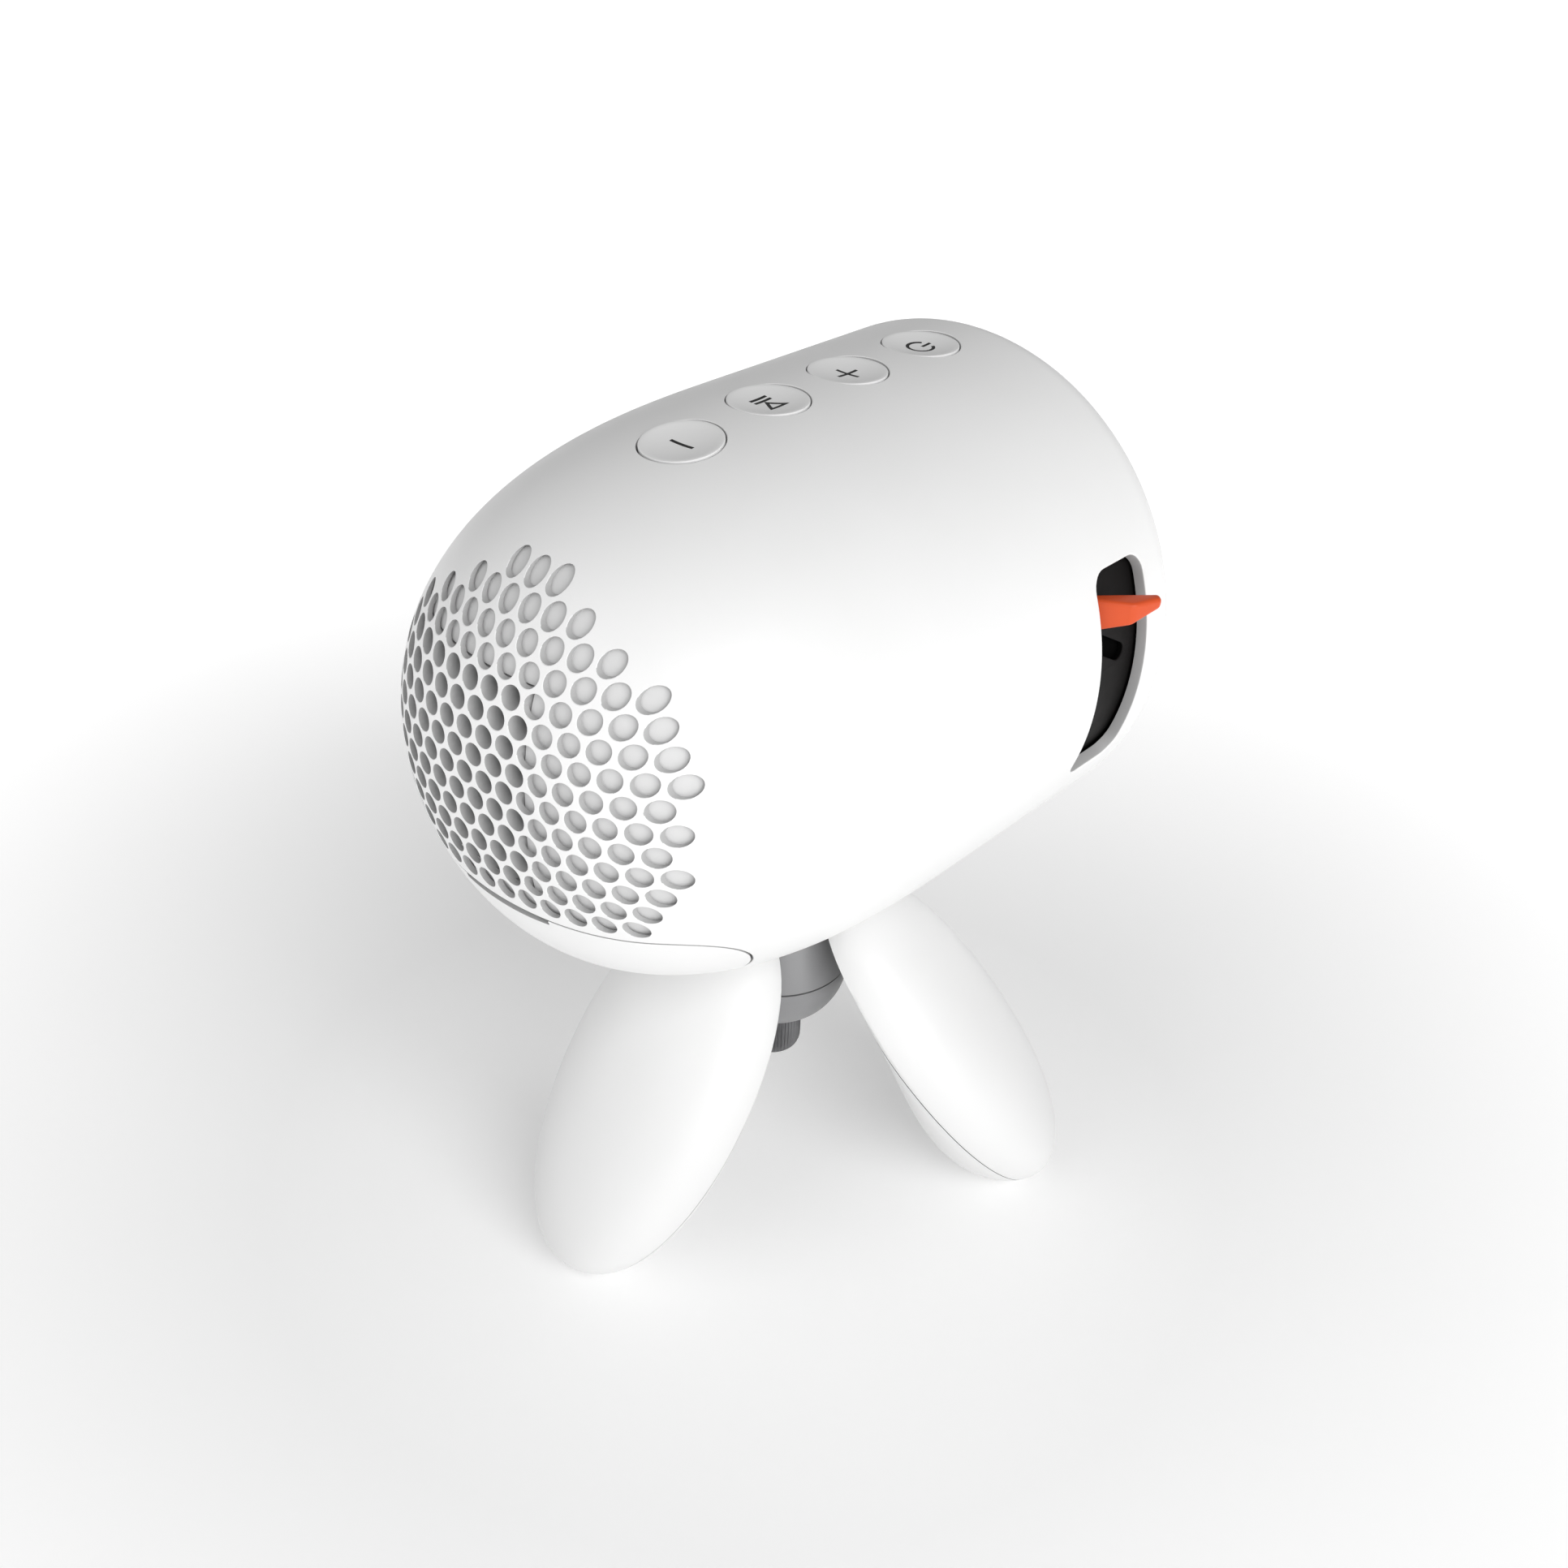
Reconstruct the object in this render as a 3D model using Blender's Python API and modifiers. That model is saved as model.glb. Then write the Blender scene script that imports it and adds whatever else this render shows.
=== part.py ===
"""Home projector: a bullet-shaped pico projector standing on a three-petal table tripod.

The lens looks along -Y and +Z is up.  The origin is the middle of the footprint, on the table.
Along the body, a "station" is the distance in front of the shoulder where the straight
cylinder turns into the rear dome, so the lens end has positive stations and the dome negative.
Angles around the body axis are measured from the -X side, upwards.
"""
import math

import bmesh
import bpy
from mathutils import Matrix, Vector

MM = 0.001

# Body of revolution
BODY_R = 40.0 * MM
BODY_FRONT = 1.064 * BODY_R
DOME_DEPTH = 1.507 * BODY_R
DOME_POWER = 2.70
FRONT_ROUND = 0.16 * BODY_R
WALL = 1.8 * MM
GAP = 0.3 * MM
CAP_R = 36.5 * MM
INNER_R = BODY_R - WALL

# Tripod
TRIPOD_STATION = -0.045 * BODY_R
PETAL_TILT = 0.674
PETAL_REACH = 0.682 * BODY_R
PETAL_DROP = 1.686 * BODY_R
PETAL_LENGTH = 0.786 * BODY_R
PETAL_WIDTH = 0.418 * BODY_R
PETAL_OUTLINE_POWER = 2.13
PETAL_TAPER = -0.046
OUTER_BULGE, OUTER_POWER, OUTER_LEAN = 0.26 * BODY_R, 2.43, -0.055
INNER_BULGE, INNER_POWER, INNER_LEAN = 0.192 * BODY_R, 1.81, 1.395
PETAL_AZIMUTHS = {"rear": 90.0, "left": 210.0, "right": 330.0}
FOOT_FLAT = 0.5 * MM
PETAL_LOW = 2.3436 * BODY_R
LEG_PIVOT_REACH = 12.0 * MM
LEG_PIVOT_DROP = 43.7 * MM
LEG_PIN_R = 1.0 * MM
LEG_PIN_HALF = 6.5 * MM
TONGUE_WIDTH = 5.0 * MM

# Where the body axis lies
AXIS_HEIGHT = PETAL_LOW - FOOT_FLAT
SHOULDER_Y = (BODY_FRONT - DOME_DEPTH) / 2
AXIS = Vector((0.0, SHOULDER_Y, AXIS_HEIGHT))

# Buttons on the top line
BUTTON_R = 0.1444 * BODY_R
BUTTON_FIRST = -0.617 * BODY_R
BUTTON_PITCH = 0.4185 * BODY_R
BUTTON_NAMES = ("minus", "play", "plus", "power")
BUTTON_SUNK = 0.2 * MM
BUTTON_DISH = 0.6 * MM
BUTTON_DISH_R = 24.0 * MM
BUTTON_TRAVEL = 0.6 * MM

# Rear vents: blind over a blanking bowl, except where a duct opens behind a thicker grille
VENT_R = 0.0384 * BODY_R
VENT_PITCH = 0.0930 * BODY_R
VENT_ROW = 0.0801 * BODY_R
VENT_LOWEST = -0.331 * BODY_R
VENT_ROWS = 14
VENT_FIELD_R, VENT_FIELD_UP = 0.690 * BODY_R, 0.0125 * BODY_R
GRILLE_R = 0.80 * BODY_R
GRILLE_THIN = 0.9 * MM
GRILLE_THICK = 3.4 * MM
LINER_DEPTH = 1.2 * MM
LINER_THICKNESS = 0.9 * MM
LINER_LOW = -15.5 * MM
DUCT_LEFT, DUCT_RIGHT = -0.152 * BODY_R, 0.52 * BODY_R
DUCT_LOW, DUCT_HIGH = -0.29 * BODY_R, 0.43 * BODY_R

# Focus slot, ring and lever on the -X side
SLOT_REAR, SLOT_FRONT = 0.505 * BODY_R, 0.815 * BODY_R
SLOT_HALF_HEIGHT = 0.416 * BODY_R
SLOT_CORNER = 0.07 * BODY_R
DRUM_R = 37.6 * MM
DRUM_WALL = 1.4 * MM
DRUM_REAR, DRUM_FRONT = 17.0 * MM, 37.5 * MM
DRUM_LOW_ANGLE, DRUM_HIGH_ANGLE = -33.0, 61.0
HUB_R = 14.5 * MM
LEVER_TOP = 12.4 * MM
LEVER_ROOT_R = DRUM_R + 0.375 * MM
LEVER_ROOT_REAR, LEVER_ROOT_FRONT, LEVER_ROOT_UNDER = 21.3 * MM, 24.0 * MM, 7.8 * MM
LEVER_ELBOW = (41.4 * MM, 24.6 * MM, 9.0 * MM)
LEVER_TIP_REAR = (43.1 * MM, 29.2 * MM, 10.8 * MM)
LEVER_TIP_FRONT = (41.9 * MM, 30.3 * MM, 10.8 * MM)
CAM_SLOT_FRONT = (28.3 * MM, 2.1 * MM)
CAM_SLOT_REAR = (22.6 * MM, 5.5 * MM)
CAM_SLOT_HALF_WIDTH = 1.35 * MM
BARREL_R = 10.3 * MM

# Rear hatch
HATCH_TOP = -0.40 * BODY_R
HATCH_FRONT = -0.88 * BODY_R
HATCH_CORNER = 0.41 * BODY_R
HATCH_PIVOT_DROP = 36.4 * MM
HATCH_BARREL_R = 1.5 * MM
HATCH_PIN_R = 0.7 * MM
SCOOP_WIDTH = 0.40 * BODY_R
SCOOP_HEIGHT = 1.5 * MM
SCOOP_DEPTH = 0.9 * MM

# Decks inside the body, as heights above the axis
CHASSIS_TOP = -13.6 * MM
CHASSIS_BOTTOM = -15.0 * MM
BOARD_TOP = -25.2 * MM
BOARD_BOTTOM = -26.6 * MM
SOCKET_MOUTH = -37.6 * MM

for leftover in list(bpy.data.objects):
    bpy.data.objects.remove(leftover, do_unlink=True)
model = bpy.data.collections.new("home_projector")
cutters = bpy.data.collections.new("cutters")
for group in (model, cutters):
    bpy.context.scene.collection.children.link(group)


# ---------------------------------------------------------------- helpers

def material(name, colour, roughness, metallic=0.0, alpha=1.0):
    """A Principled material that every piece of the same stuff shares."""
    found = bpy.data.materials.get(name)
    if found:
        return found
    made = bpy.data.materials.new(name)
    made.use_nodes = True
    shader = made.node_tree.nodes["Principled BSDF"]
    shader.inputs["Base Color"].default_value = (*colour, 1.0)
    shader.inputs["Roughness"].default_value = roughness
    shader.inputs["Metallic"].default_value = metallic
    shader.inputs["Alpha"].default_value = alpha
    return made


def white_plastic():
    return material("white_plastic", (0.86, 0.86, 0.86), 0.45)


def grey_plastic():
    return material("grey_plastic", (0.33, 0.33, 0.34), 0.45)


def dark_plastic():
    return material("dark_plastic", (0.02, 0.02, 0.022), 0.5)


def orange_plastic():
    return material("orange_plastic", (0.85, 0.12, 0.03), 0.4)


def steel():
    return material("steel", (0.6, 0.6, 0.62), 0.3, 1.0)


def brass():
    return material("brass", (0.75, 0.55, 0.25), 0.3, 1.0)


def circuit_board():
    return material("circuit_board", (0.01, 0.12, 0.05), 0.5)


def chip_black():
    return material("chip_black", (0.02, 0.02, 0.02), 0.35)


def as_object(name, mesh, stuff=None):
    """A part when it has a material, otherwise a cutter that is never rendered."""
    thing = bpy.data.objects.new(name, mesh)
    if stuff:
        model.objects.link(thing)
        mesh.materials.clear()
        mesh.materials.append(stuff)
    else:
        cutters.objects.link(thing)
        thing.hide_render = True
        thing.display_type = "WIRE"
    return thing


def from_bmesh(name, shape, stuff=None):
    mesh = bpy.data.meshes.new(name)
    bmesh.ops.recalc_face_normals(shape, faces=shape.faces)
    shape.to_mesh(mesh)
    shape.free()
    return as_object(name, mesh, stuff)


def baked(thing):
    """Turn an object's modifiers and placing into plain mesh points."""
    graph = bpy.context.evaluated_depsgraph_get()
    mesh = bpy.data.meshes.new_from_object(thing.evaluated_get(graph))
    mesh.transform(thing.matrix_world)
    bpy.data.objects.remove(thing, do_unlink=True)
    shape = bmesh.new()
    shape.from_mesh(mesh)
    bmesh.ops.remove_doubles(shape, verts=shape.verts, dist=0.001 * MM)
    bmesh.ops.dissolve_degenerate(shape, edges=shape.edges, dist=0.001 * MM)
    bmesh.ops.recalc_face_normals(shape, faces=shape.faces)
    return shape


def body_point(station, across=0.0, up=0.0):
    """World point at a station along the body, across in X and up from the axis."""
    return Vector((across, SHOULDER_Y - station, AXIS_HEIGHT + up))


def block(name, size, centre, stuff=None, rounding=0.0):
    """A box, its edges rounded when a rounding is given."""
    shape = bmesh.new()
    place = Matrix.Translation(centre) @ Matrix.Diagonal((*size, 1.0))
    bmesh.ops.create_cube(shape, size=1.0, matrix=place)
    if rounding:
        bmesh.ops.bevel(shape, geom=list(shape.edges), offset=rounding, segments=2, profile=0.5,
                        affect="EDGES")
    return from_bmesh(name, shape, stuff)


def rod(name, radius, start, end, stuff=None, sides=20):
    """A round bar between two points."""
    along = end - start
    turn = along.to_track_quat("Z", "Y").to_matrix().to_4x4()
    shape = bmesh.new()
    bmesh.ops.create_cone(shape, cap_ends=True, segments=sides, radius1=radius, radius2=radius,
                          depth=along.length, matrix=Matrix.Translation((start + end) / 2) @ turn)
    return from_bmesh(name, shape, stuff)


def turned(name, profile, centre, stuff=None, along_body=False, sides=24):
    """A profile of (radius, height) turned once around a vertical axis through centre.

    With along_body the axis lies along the body instead, and heights are stations.
    A profile that ends away from the axis is closed into a ring.
    """
    count = len(profile)
    edges = [(i, i + 1) for i in range(count - 1)]
    if profile[0][0] > 0.0 or profile[-1][0] > 0.0:
        edges.append((count - 1, 0))
    mesh = bpy.data.meshes.new(name)
    mesh.from_pydata([(radius, 0.0, height) for radius, height in profile], edges, [])
    thing = as_object(name + "_profile", mesh)
    thing.location = centre
    if along_body:
        thing.rotation_euler = (math.pi / 2, 0.0, 0.0)
    screw = thing.modifiers.new("Screw", "SCREW")
    screw.steps = sides
    screw.render_steps = sides
    screw.use_merge_vertices = True
    screw.merge_threshold = 0.00001
    bpy.context.view_layer.update()
    return from_bmesh(name, baked(thing), stuff)


def plate(name, outline, thickness, place, stuff=None):
    """A flat outline, given thickness about its plane and moved by the matrix place."""
    curve = bpy.data.curves.new(name, "CURVE")
    curve.dimensions = "2D"
    curve.fill_mode = "BOTH"
    curve.extrude = thickness / 2
    spline = curve.splines.new("POLY")
    spline.points.add(len(outline) - 1)
    for point, (across, up) in zip(spline.points, outline):
        point.co = (across, up, 0.0, 1.0)
    spline.use_cyclic_u = True
    thing = bpy.data.objects.new(name + "_outline", curve)
    cutters.objects.link(thing)
    thing.matrix_world = place
    bpy.context.view_layer.update()
    return from_bmesh(name, baked(thing), stuff)


def facing_rear(station):
    """Places a plate upright across the body: its X is world X, its Y is world Z."""
    return Matrix.Translation(body_point(station)) @ Matrix.Rotation(math.pi / 2, 4, "X")


def lying(up):
    """Places a plate level inside the body: its X is world X, its Y runs to the rear."""
    return Matrix.Translation(body_point(0.0, 0.0, up))


def boolean(thing, operation, other):
    change = thing.modifiers.new(operation.title(), "BOOLEAN")
    change.operation = operation
    change.solver = "EXACT"
    change.object = other
    return thing


def cut(thing, *others):
    for other in others:
        boolean(thing, "DIFFERENCE", other)
    return thing


def join(thing, *others):
    for other in others:
        boolean(thing, "UNION", other)
    return thing


def pivot_at(thing, point):
    """Moves an object's origin onto its joint without moving its shape."""
    thing.data.transform(Matrix.Translation(-point))
    thing.location = point
    return thing


def smooth(thing, degrees=35.0):
    thing.data.shade_smooth()
    thing.data.set_sharp_from_angle(angle=math.radians(degrees))
    return thing


def arc(centre, radius, first, last, count):
    """Points of a circular arc, angles in degrees, both ends included."""
    steps = [math.radians(first + (last - first) * i / (count - 1)) for i in range(count)]
    return [(centre[0] + radius * math.cos(t), centre[1] + radius * math.sin(t)) for t in steps]


def signed_power(value, power):
    return math.copysign(abs(value) ** power, value)


# ---------------------------------------------------------------- body profile

def dome_radius(station, inset=0.0):
    """Radius of the body behind its shoulder, or of its inside when inset is the wall."""
    if station >= 0.0:
        return BODY_R - inset
    share = min(1.0, -station / (DOME_DEPTH - inset))
    return (BODY_R - inset) * (1.0 - share ** DOME_POWER) ** (1.0 / DOME_POWER)


def dome_points(inset, count=9):
    """(radius, station) points from the shoulder down to the apex of the dome."""
    points = []
    for i in range(count):
        angle = math.pi / 2 * i / (count - 1)
        radius = (BODY_R - inset) * math.cos(angle) ** (2 / DOME_POWER)
        station = -(DOME_DEPTH - inset) * math.sin(angle) ** (2 / DOME_POWER)
        points.append((radius if i < count - 1 else 0.0, station))
    return points


def dome_station(radius):
    """Station of the dome's outside where it has the given radius."""
    return -DOME_DEPTH * (1.0 - (radius / BODY_R) ** DOME_POWER) ** (1.0 / DOME_POWER)


def front_round(first, last, count):
    """Points of the rounded front edge, 0 degrees at the side and 90 at the front face."""
    centre = (BODY_R - FRONT_ROUND, BODY_FRONT - FRONT_ROUND)
    return arc(centre, FRONT_ROUND, first, last, count)


def seam_angle(radius):
    return math.degrees(math.acos((radius - BODY_R + FRONT_ROUND) / FRONT_ROUND))


SHELL_OPENING_R = CAP_R + GAP
SHELL_EDGE_ANGLE = seam_angle(SHELL_OPENING_R + 0.6 * MM)
SHELL_SIDES = 32


def grille_points(depth, reach, count=8):
    """(radius, station) points of the dome's outside moved forward by a depth, apex first."""
    points = []
    for i in range(count):
        radius = reach * i / (count - 1)
        rise = (1.0 - (radius / BODY_R) ** DOME_POWER) ** (1.0 / DOME_POWER)
        points.append((radius, depth - DOME_DEPTH * rise))
    return points


def grille_layer(name, near, far, reach, stuff=None):
    """A bowl that lies behind the grille, between two depths."""
    profile = grille_points(near, reach) + list(reversed(grille_points(far, reach)))
    return turned(name, profile, AXIS, stuff, along_body=True, sides=SHELL_SIDES)


def duct_block(name, spare):
    """The part of the rear end whose vents are open, grown or shrunk by a spare."""
    wide, tall = DUCT_RIGHT - DUCT_LEFT, DUCT_HIGH - DUCT_LOW
    size = Vector((wide + 2 * spare, 80 * MM, tall + 2 * spare))
    middle = body_point(-50 * MM, (DUCT_LEFT + DUCT_RIGHT) / 2, (DUCT_LOW + DUCT_HIGH) / 2)
    return block(name, size, middle)


def shell_blank(name, stuff=None, grille=False):
    """The body wall, open at the lens end, thinned behind the grille when that is asked for."""
    inside = list(reversed(dome_points(WALL)))
    if grille:
        inside = grille_points(GRILLE_THIN, GRILLE_R) + [p for p in inside if p[0] > GRILLE_R + MM]
    lip = [(INNER_R, 38.0 * MM), (SHELL_OPENING_R, 38.6 * MM)]
    outside = list(reversed(front_round(0.0, SHELL_EDGE_ANGLE, 4)))
    lip.append((SHELL_OPENING_R, outside[0][1]))
    profile = inside + lip + outside + dome_points(0.0)
    return turned(name, profile, AXIS, stuff, along_body=True, sides=SHELL_SIDES)


def core_blank(name, inset):
    """A solid bullet the shape of the body's outside, inset evenly."""
    profile = [(0.0, BODY_FRONT), (BODY_R - inset, BODY_FRONT)] + dome_points(inset, 12)
    return turned(name, profile, AXIS, None, along_body=True, sides=64)


# ---------------------------------------------------------------- cutters of the shell

def vent_centres():
    """Hexagonal grid of vents inside a circle just over the axis, with one short row on top."""
    centres = []
    for row in range(VENT_ROWS):
        up = VENT_LOWEST + row * VENT_ROW
        shift = 0.0 if row % 2 else 0.5
        for column in range(-9, 9):
            across = (column + shift) * VENT_PITCH
            top_row = row == VENT_ROWS - 1 and abs(across) < 1.2 * VENT_PITCH
            if math.hypot(across, up - VENT_FIELD_UP) <= VENT_FIELD_R or top_row:
                centres.append((across, up))
    return centres


def vent_cutter():
    shape = bmesh.new()
    turn = Matrix.Rotation(math.pi / 2, 4, "X")
    for across, up in vent_centres():
        place = Matrix.Translation(body_point(-0.5 * (DOME_DEPTH + 22 * MM), across, up)) @ turn
        bmesh.ops.create_cone(shape, cap_ends=True, segments=6, radius1=VENT_R, radius2=VENT_R,
                              depth=DOME_DEPTH - 10 * MM, matrix=place)
    return from_bmesh("vent_cutter", shape)


def slot_cutter():
    """A rounded rectangle cut straight in from the -X side."""
    half = (SLOT_FRONT - SLOT_REAR) / 2 - SLOT_CORNER
    tall = SLOT_HALF_HEIGHT - SLOT_CORNER
    corners = ((half, tall, 0), (-half, tall, 90), (-half, -tall, 180), (half, -tall, 270))
    outline = []
    for along, up, start in corners:
        outline += arc((along, up), SLOT_CORNER, start, start + 90, 5)
    centre = body_point((SLOT_REAR + SLOT_FRONT) / 2, -BODY_R, 0.0)
    sideways = Matrix.Rotation(math.pi / 2, 4, "Z") @ Matrix.Rotation(math.pi / 2, 4, "X")
    return plate("slot_cutter", outline, 24 * MM, Matrix.Translation(centre) @ sideways)


def hatch_prism(name, clearance):
    """The space that the hatch takes out of the body, seen from the side, shrunk by a clearance."""
    top = HATCH_TOP - clearance
    front = HATCH_FRONT - clearance
    corner = HATCH_CORNER
    outline = [(-70 * MM, top)]
    outline += arc((front - corner, top - corner), corner, 90, 0, 9)
    outline += [(front, -45 * MM), (-70 * MM, -45 * MM)]
    sideways = Matrix.Rotation(math.pi / 2, 4, "X")
    turn = Matrix.Rotation(-math.pi / 2, 4, "Z") @ sideways
    return plate(name, outline, 90 * MM, Matrix.Translation(AXIS) @ turn)


def button_stations():
    return {name: BUTTON_FIRST + i * BUTTON_PITCH for i, name in enumerate(BUTTON_NAMES)}


HATCH_PIVOT = body_point(HATCH_FRONT, 0.0, -HATCH_PIVOT_DROP)
HATCH_KNUCKLES = {"hatch": ((-2.6, 2.6),), "shell": ((-7.0, -3.0), (3.0, 7.0))}


def hatch_barrels(owner, radius, spare=0.0):
    """Hinge barrels on the hatch pivot line, of the hatch or of the shell."""
    bars = []
    for low, high in HATCH_KNUCKLES[owner]:
        start = HATCH_PIVOT + Vector((low * MM - spare, 0.0, 0.0))
        end = HATCH_PIVOT + Vector((high * MM + spare, 0.0, 0.0))
        name = f"{owner}_barrel_{len(bars)}_{round(radius / MM * 100)}"
        bars.append(rod(name, radius, start, end, None, 16))
    return bars


def hatch_pin_hole(name):
    across = Vector((9 * MM, 0.0, 0.0))
    return rod(name, HATCH_PIN_R + 0.25 * MM, HATCH_PIVOT - across, HATCH_PIVOT + across, None, 12)


# ---------------------------------------------------------------- casing

def tripod_axis_point(drop):
    """World point on the tripod's vertical axis, a drop below the body axis."""
    return body_point(TRIPOD_STATION, 0.0, -drop)


BUSH_R = 5.0 * MM
BUSH_DROPS = (31.0 * MM, 39.9 * MM)


def make_body_shell():
    shell = shell_blank("body_shell", white_plastic(), grille=True)
    pad = grille_layer("grille_pad", GRILLE_THIN / 2, GRILLE_THICK, GRILLE_R + MM)
    boolean(pad, "INTERSECT", duct_block("duct_inside", -GAP / 2))
    join(shell, pad)
    boss = rod("bush_boss", 8 * MM, tripod_axis_point(38.9 * MM), tripod_axis_point(29.5 * MM))
    bore = rod("bush_bore", BUSH_R + GAP, tripod_axis_point(45 * MM), tripod_axis_point(25 * MM))
    join(shell, boss)
    cut(shell, bore, vent_cutter(), slot_cutter(), hatch_prism("hatch_opening", 0.0))
    for name, station in button_stations().items():
        foot = body_point(station, 0.0, 25 * MM)
        top = body_point(station, 0.0, 50 * MM)
        cut(shell, rod(f"{name}_hole", BUTTON_R + 0.15 * MM, foot, top))
    cut(shell, *hatch_barrels("hatch", HATCH_BARREL_R + GAP, GAP))
    join(shell, *hatch_barrels("shell", HATCH_BARREL_R))
    cut(shell, hatch_pin_hole("shell_pin_hole"))
    return smooth(shell)


def make_rear_hatch():
    hatch = shell_blank("rear_hatch", white_plastic())
    boolean(hatch, "INTERSECT", hatch_prism("hatch_shape", GAP))
    cut(hatch, finger_scoop())
    cut(hatch, *hatch_barrels("shell", HATCH_BARREL_R + GAP, GAP))
    join(hatch, *hatch_barrels("hatch", HATCH_BARREL_R))
    cut(hatch, hatch_pin_hole("hatch_pin_hole"))
    return smooth(pivot_at(hatch, HATCH_PIVOT))


def finger_scoop():
    """Wedge cut out of the hatch's top edge, deepest at the seam."""
    low = HATCH_TOP - SCOOP_HEIGHT
    surface = dome_station(-low)
    outside = surface - 3 * MM
    outline = [(outside, low), (surface, low), (surface + SCOOP_DEPTH, HATCH_TOP)]
    outline.append((outside, HATCH_TOP))
    sideways = Matrix.Rotation(math.pi / 2, 4, "X")
    turn = Matrix.Rotation(-math.pi / 2, 4, "Z") @ sideways
    return plate("finger_scoop", outline, SCOOP_WIDTH, Matrix.Translation(AXIS) @ turn)


def make_hatch_pin():
    reach = Vector((HATCH_KNUCKLES["shell"][1][1] * MM, 0.0, 0.0))
    start, end = HATCH_PIVOT - reach, HATCH_PIVOT + reach
    return smooth(rod("hatch_pin", HATCH_PIN_R, start, end, steel(), 12))


def make_vent_liner():
    """White blanking bowl behind the vents, open where the duct is and above the hatch."""
    near, far = LINER_DEPTH, LINER_DEPTH + LINER_THICKNESS
    liner = grille_layer("vent_liner", near, far, GRILLE_R - 0.6 * MM, white_plastic())
    below = Vector((80, 80, 40)) * MM
    low_side = block("low_side", below, body_point(-50 * MM, 0.0, LINER_LOW - below.z / 2))
    cut(liner, duct_block("duct_outside", GAP / 2), low_side)
    return smooth(liner)


LENS_RIM_R = 30.0 * MM
CAP_SPIGOT_R = 34.5 * MM
CAP_REAR, CAP_STEP = 38.9 * MM, 40.4 * MM
WINDOW_R = 11.3 * MM
PANEL_FRONT, PANEL_REAR = 42.0 * MM, 39.8 * MM
GLASS_FRONT, GLASS_REAR = 41.6 * MM, 40.2 * MM


def make_front_cap():
    """White ring that closes the lens end and finishes the rounded edge."""
    outer = list(reversed(front_round(seam_angle(CAP_R), 90.0, 3)))
    profile = [(LENS_RIM_R, BODY_FRONT)] + outer
    profile += [(CAP_R, CAP_REAR), (CAP_SPIGOT_R, CAP_REAR)]
    profile += [(CAP_SPIGOT_R, CAP_STEP), (LENS_RIM_R, CAP_STEP)]
    cap = turned("front_cap", profile, AXIS, white_plastic(), along_body=True, sides=SHELL_SIDES)
    return smooth(cap)


def make_front_panel():
    """Black glossy disc with the window hole in its middle."""
    edge = LENS_RIM_R - GAP
    profile = [(WINDOW_R, PANEL_FRONT), (edge, PANEL_FRONT), (edge, PANEL_REAR)]
    profile.append((WINDOW_R, PANEL_REAR))
    stuff = material("gloss_black", (0.006, 0.006, 0.007), 0.12)
    panel = turned("front_panel", profile, AXIS, stuff, along_body=True, sides=SHELL_SIDES)
    return smooth(panel)


def glass():
    return material("lens_glass", (0.75, 0.85, 0.95), 0.03, 0.0, 0.4)


def make_lens_window():
    edge = WINDOW_R - GAP
    profile = [(0.0, GLASS_FRONT), (edge, GLASS_FRONT), (edge, GLASS_REAR), (0.0, GLASS_REAR)]
    return smooth(turned("lens_window", profile, AXIS, glass(), along_body=True))


# ---------------------------------------------------------------- focus and lens

HUB_REAR, HUB_FRONT = 24.2 * MM, 31.0 * MM
HUB_BORE = 10.7 * MM
GUIDE_ROOM = 12.3 * MM
SECTOR_FACETS = 25


def make_focus_ring():
    """Rotating carrier: a hub round the lens guide, a web, and a drum sector behind the slot."""
    web = DRUM_REAR + DRUM_WALL
    inside = DRUM_R - DRUM_WALL
    profile = [(HUB_R, HUB_FRONT), (HUB_R, web), (inside, web), (inside, DRUM_FRONT)]
    profile += [(DRUM_R, DRUM_FRONT), (DRUM_R, DRUM_REAR), (GUIDE_ROOM, DRUM_REAR)]
    profile += [(GUIDE_ROOM, HUB_REAR), (HUB_BORE, HUB_REAR), (HUB_BORE, HUB_FRONT)]
    ring = turned("focus_ring", profile, AXIS, dark_plastic(), along_body=True, sides=SHELL_SIDES)
    low, high = 180.0 - DRUM_LOW_ANGLE, 180.0 - DRUM_HIGH_ANGLE
    keep = arc((0.0, 0.0), DRUM_R + 8 * MM, low, high, 13)
    keep += arc((0.0, 0.0), HUB_R + 0.5 * MM, high, low - 360.0, SECTOR_FACETS)
    sector = plate("ring_keep", keep, 60 * MM, facing_rear((DRUM_REAR + DRUM_FRONT) / 2))
    boolean(ring, "INTERSECT", sector)
    cut(ring, cam_slot_cutter())
    return smooth(pivot_at(ring, AXIS.copy()))


def cam_slot_cutter():
    """Round-ended cam slot that slants across the drum below the lever."""
    along = CAM_SLOT_FRONT[0] - CAM_SLOT_REAR[0]
    drop = CAM_SLOT_FRONT[1] - CAM_SLOT_REAR[1]
    half = math.hypot(along, drop) / 2
    outline = arc((half, 0), CAM_SLOT_HALF_WIDTH, -90, 90, 7)
    outline += arc((-half, 0), CAM_SLOT_HALF_WIDTH, 90, 270, 7)
    middle_station = (CAM_SLOT_FRONT[0] + CAM_SLOT_REAR[0]) / 2
    middle_height = (CAM_SLOT_FRONT[1] + CAM_SLOT_REAR[1]) / 2
    centre = body_point(middle_station, -DRUM_R, middle_height)
    sideways = Matrix.Rotation(-math.pi / 2, 4, "Z") @ Matrix.Rotation(math.pi / 2, 4, "X")
    slant = Matrix.Rotation(math.atan2(drop, along), 4, "Z")
    return plate("cam_slot", outline, 8 * MM, Matrix.Translation(centre) @ sideways @ slant)


LEVER_ROUNDING = 0.6 * MM


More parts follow.
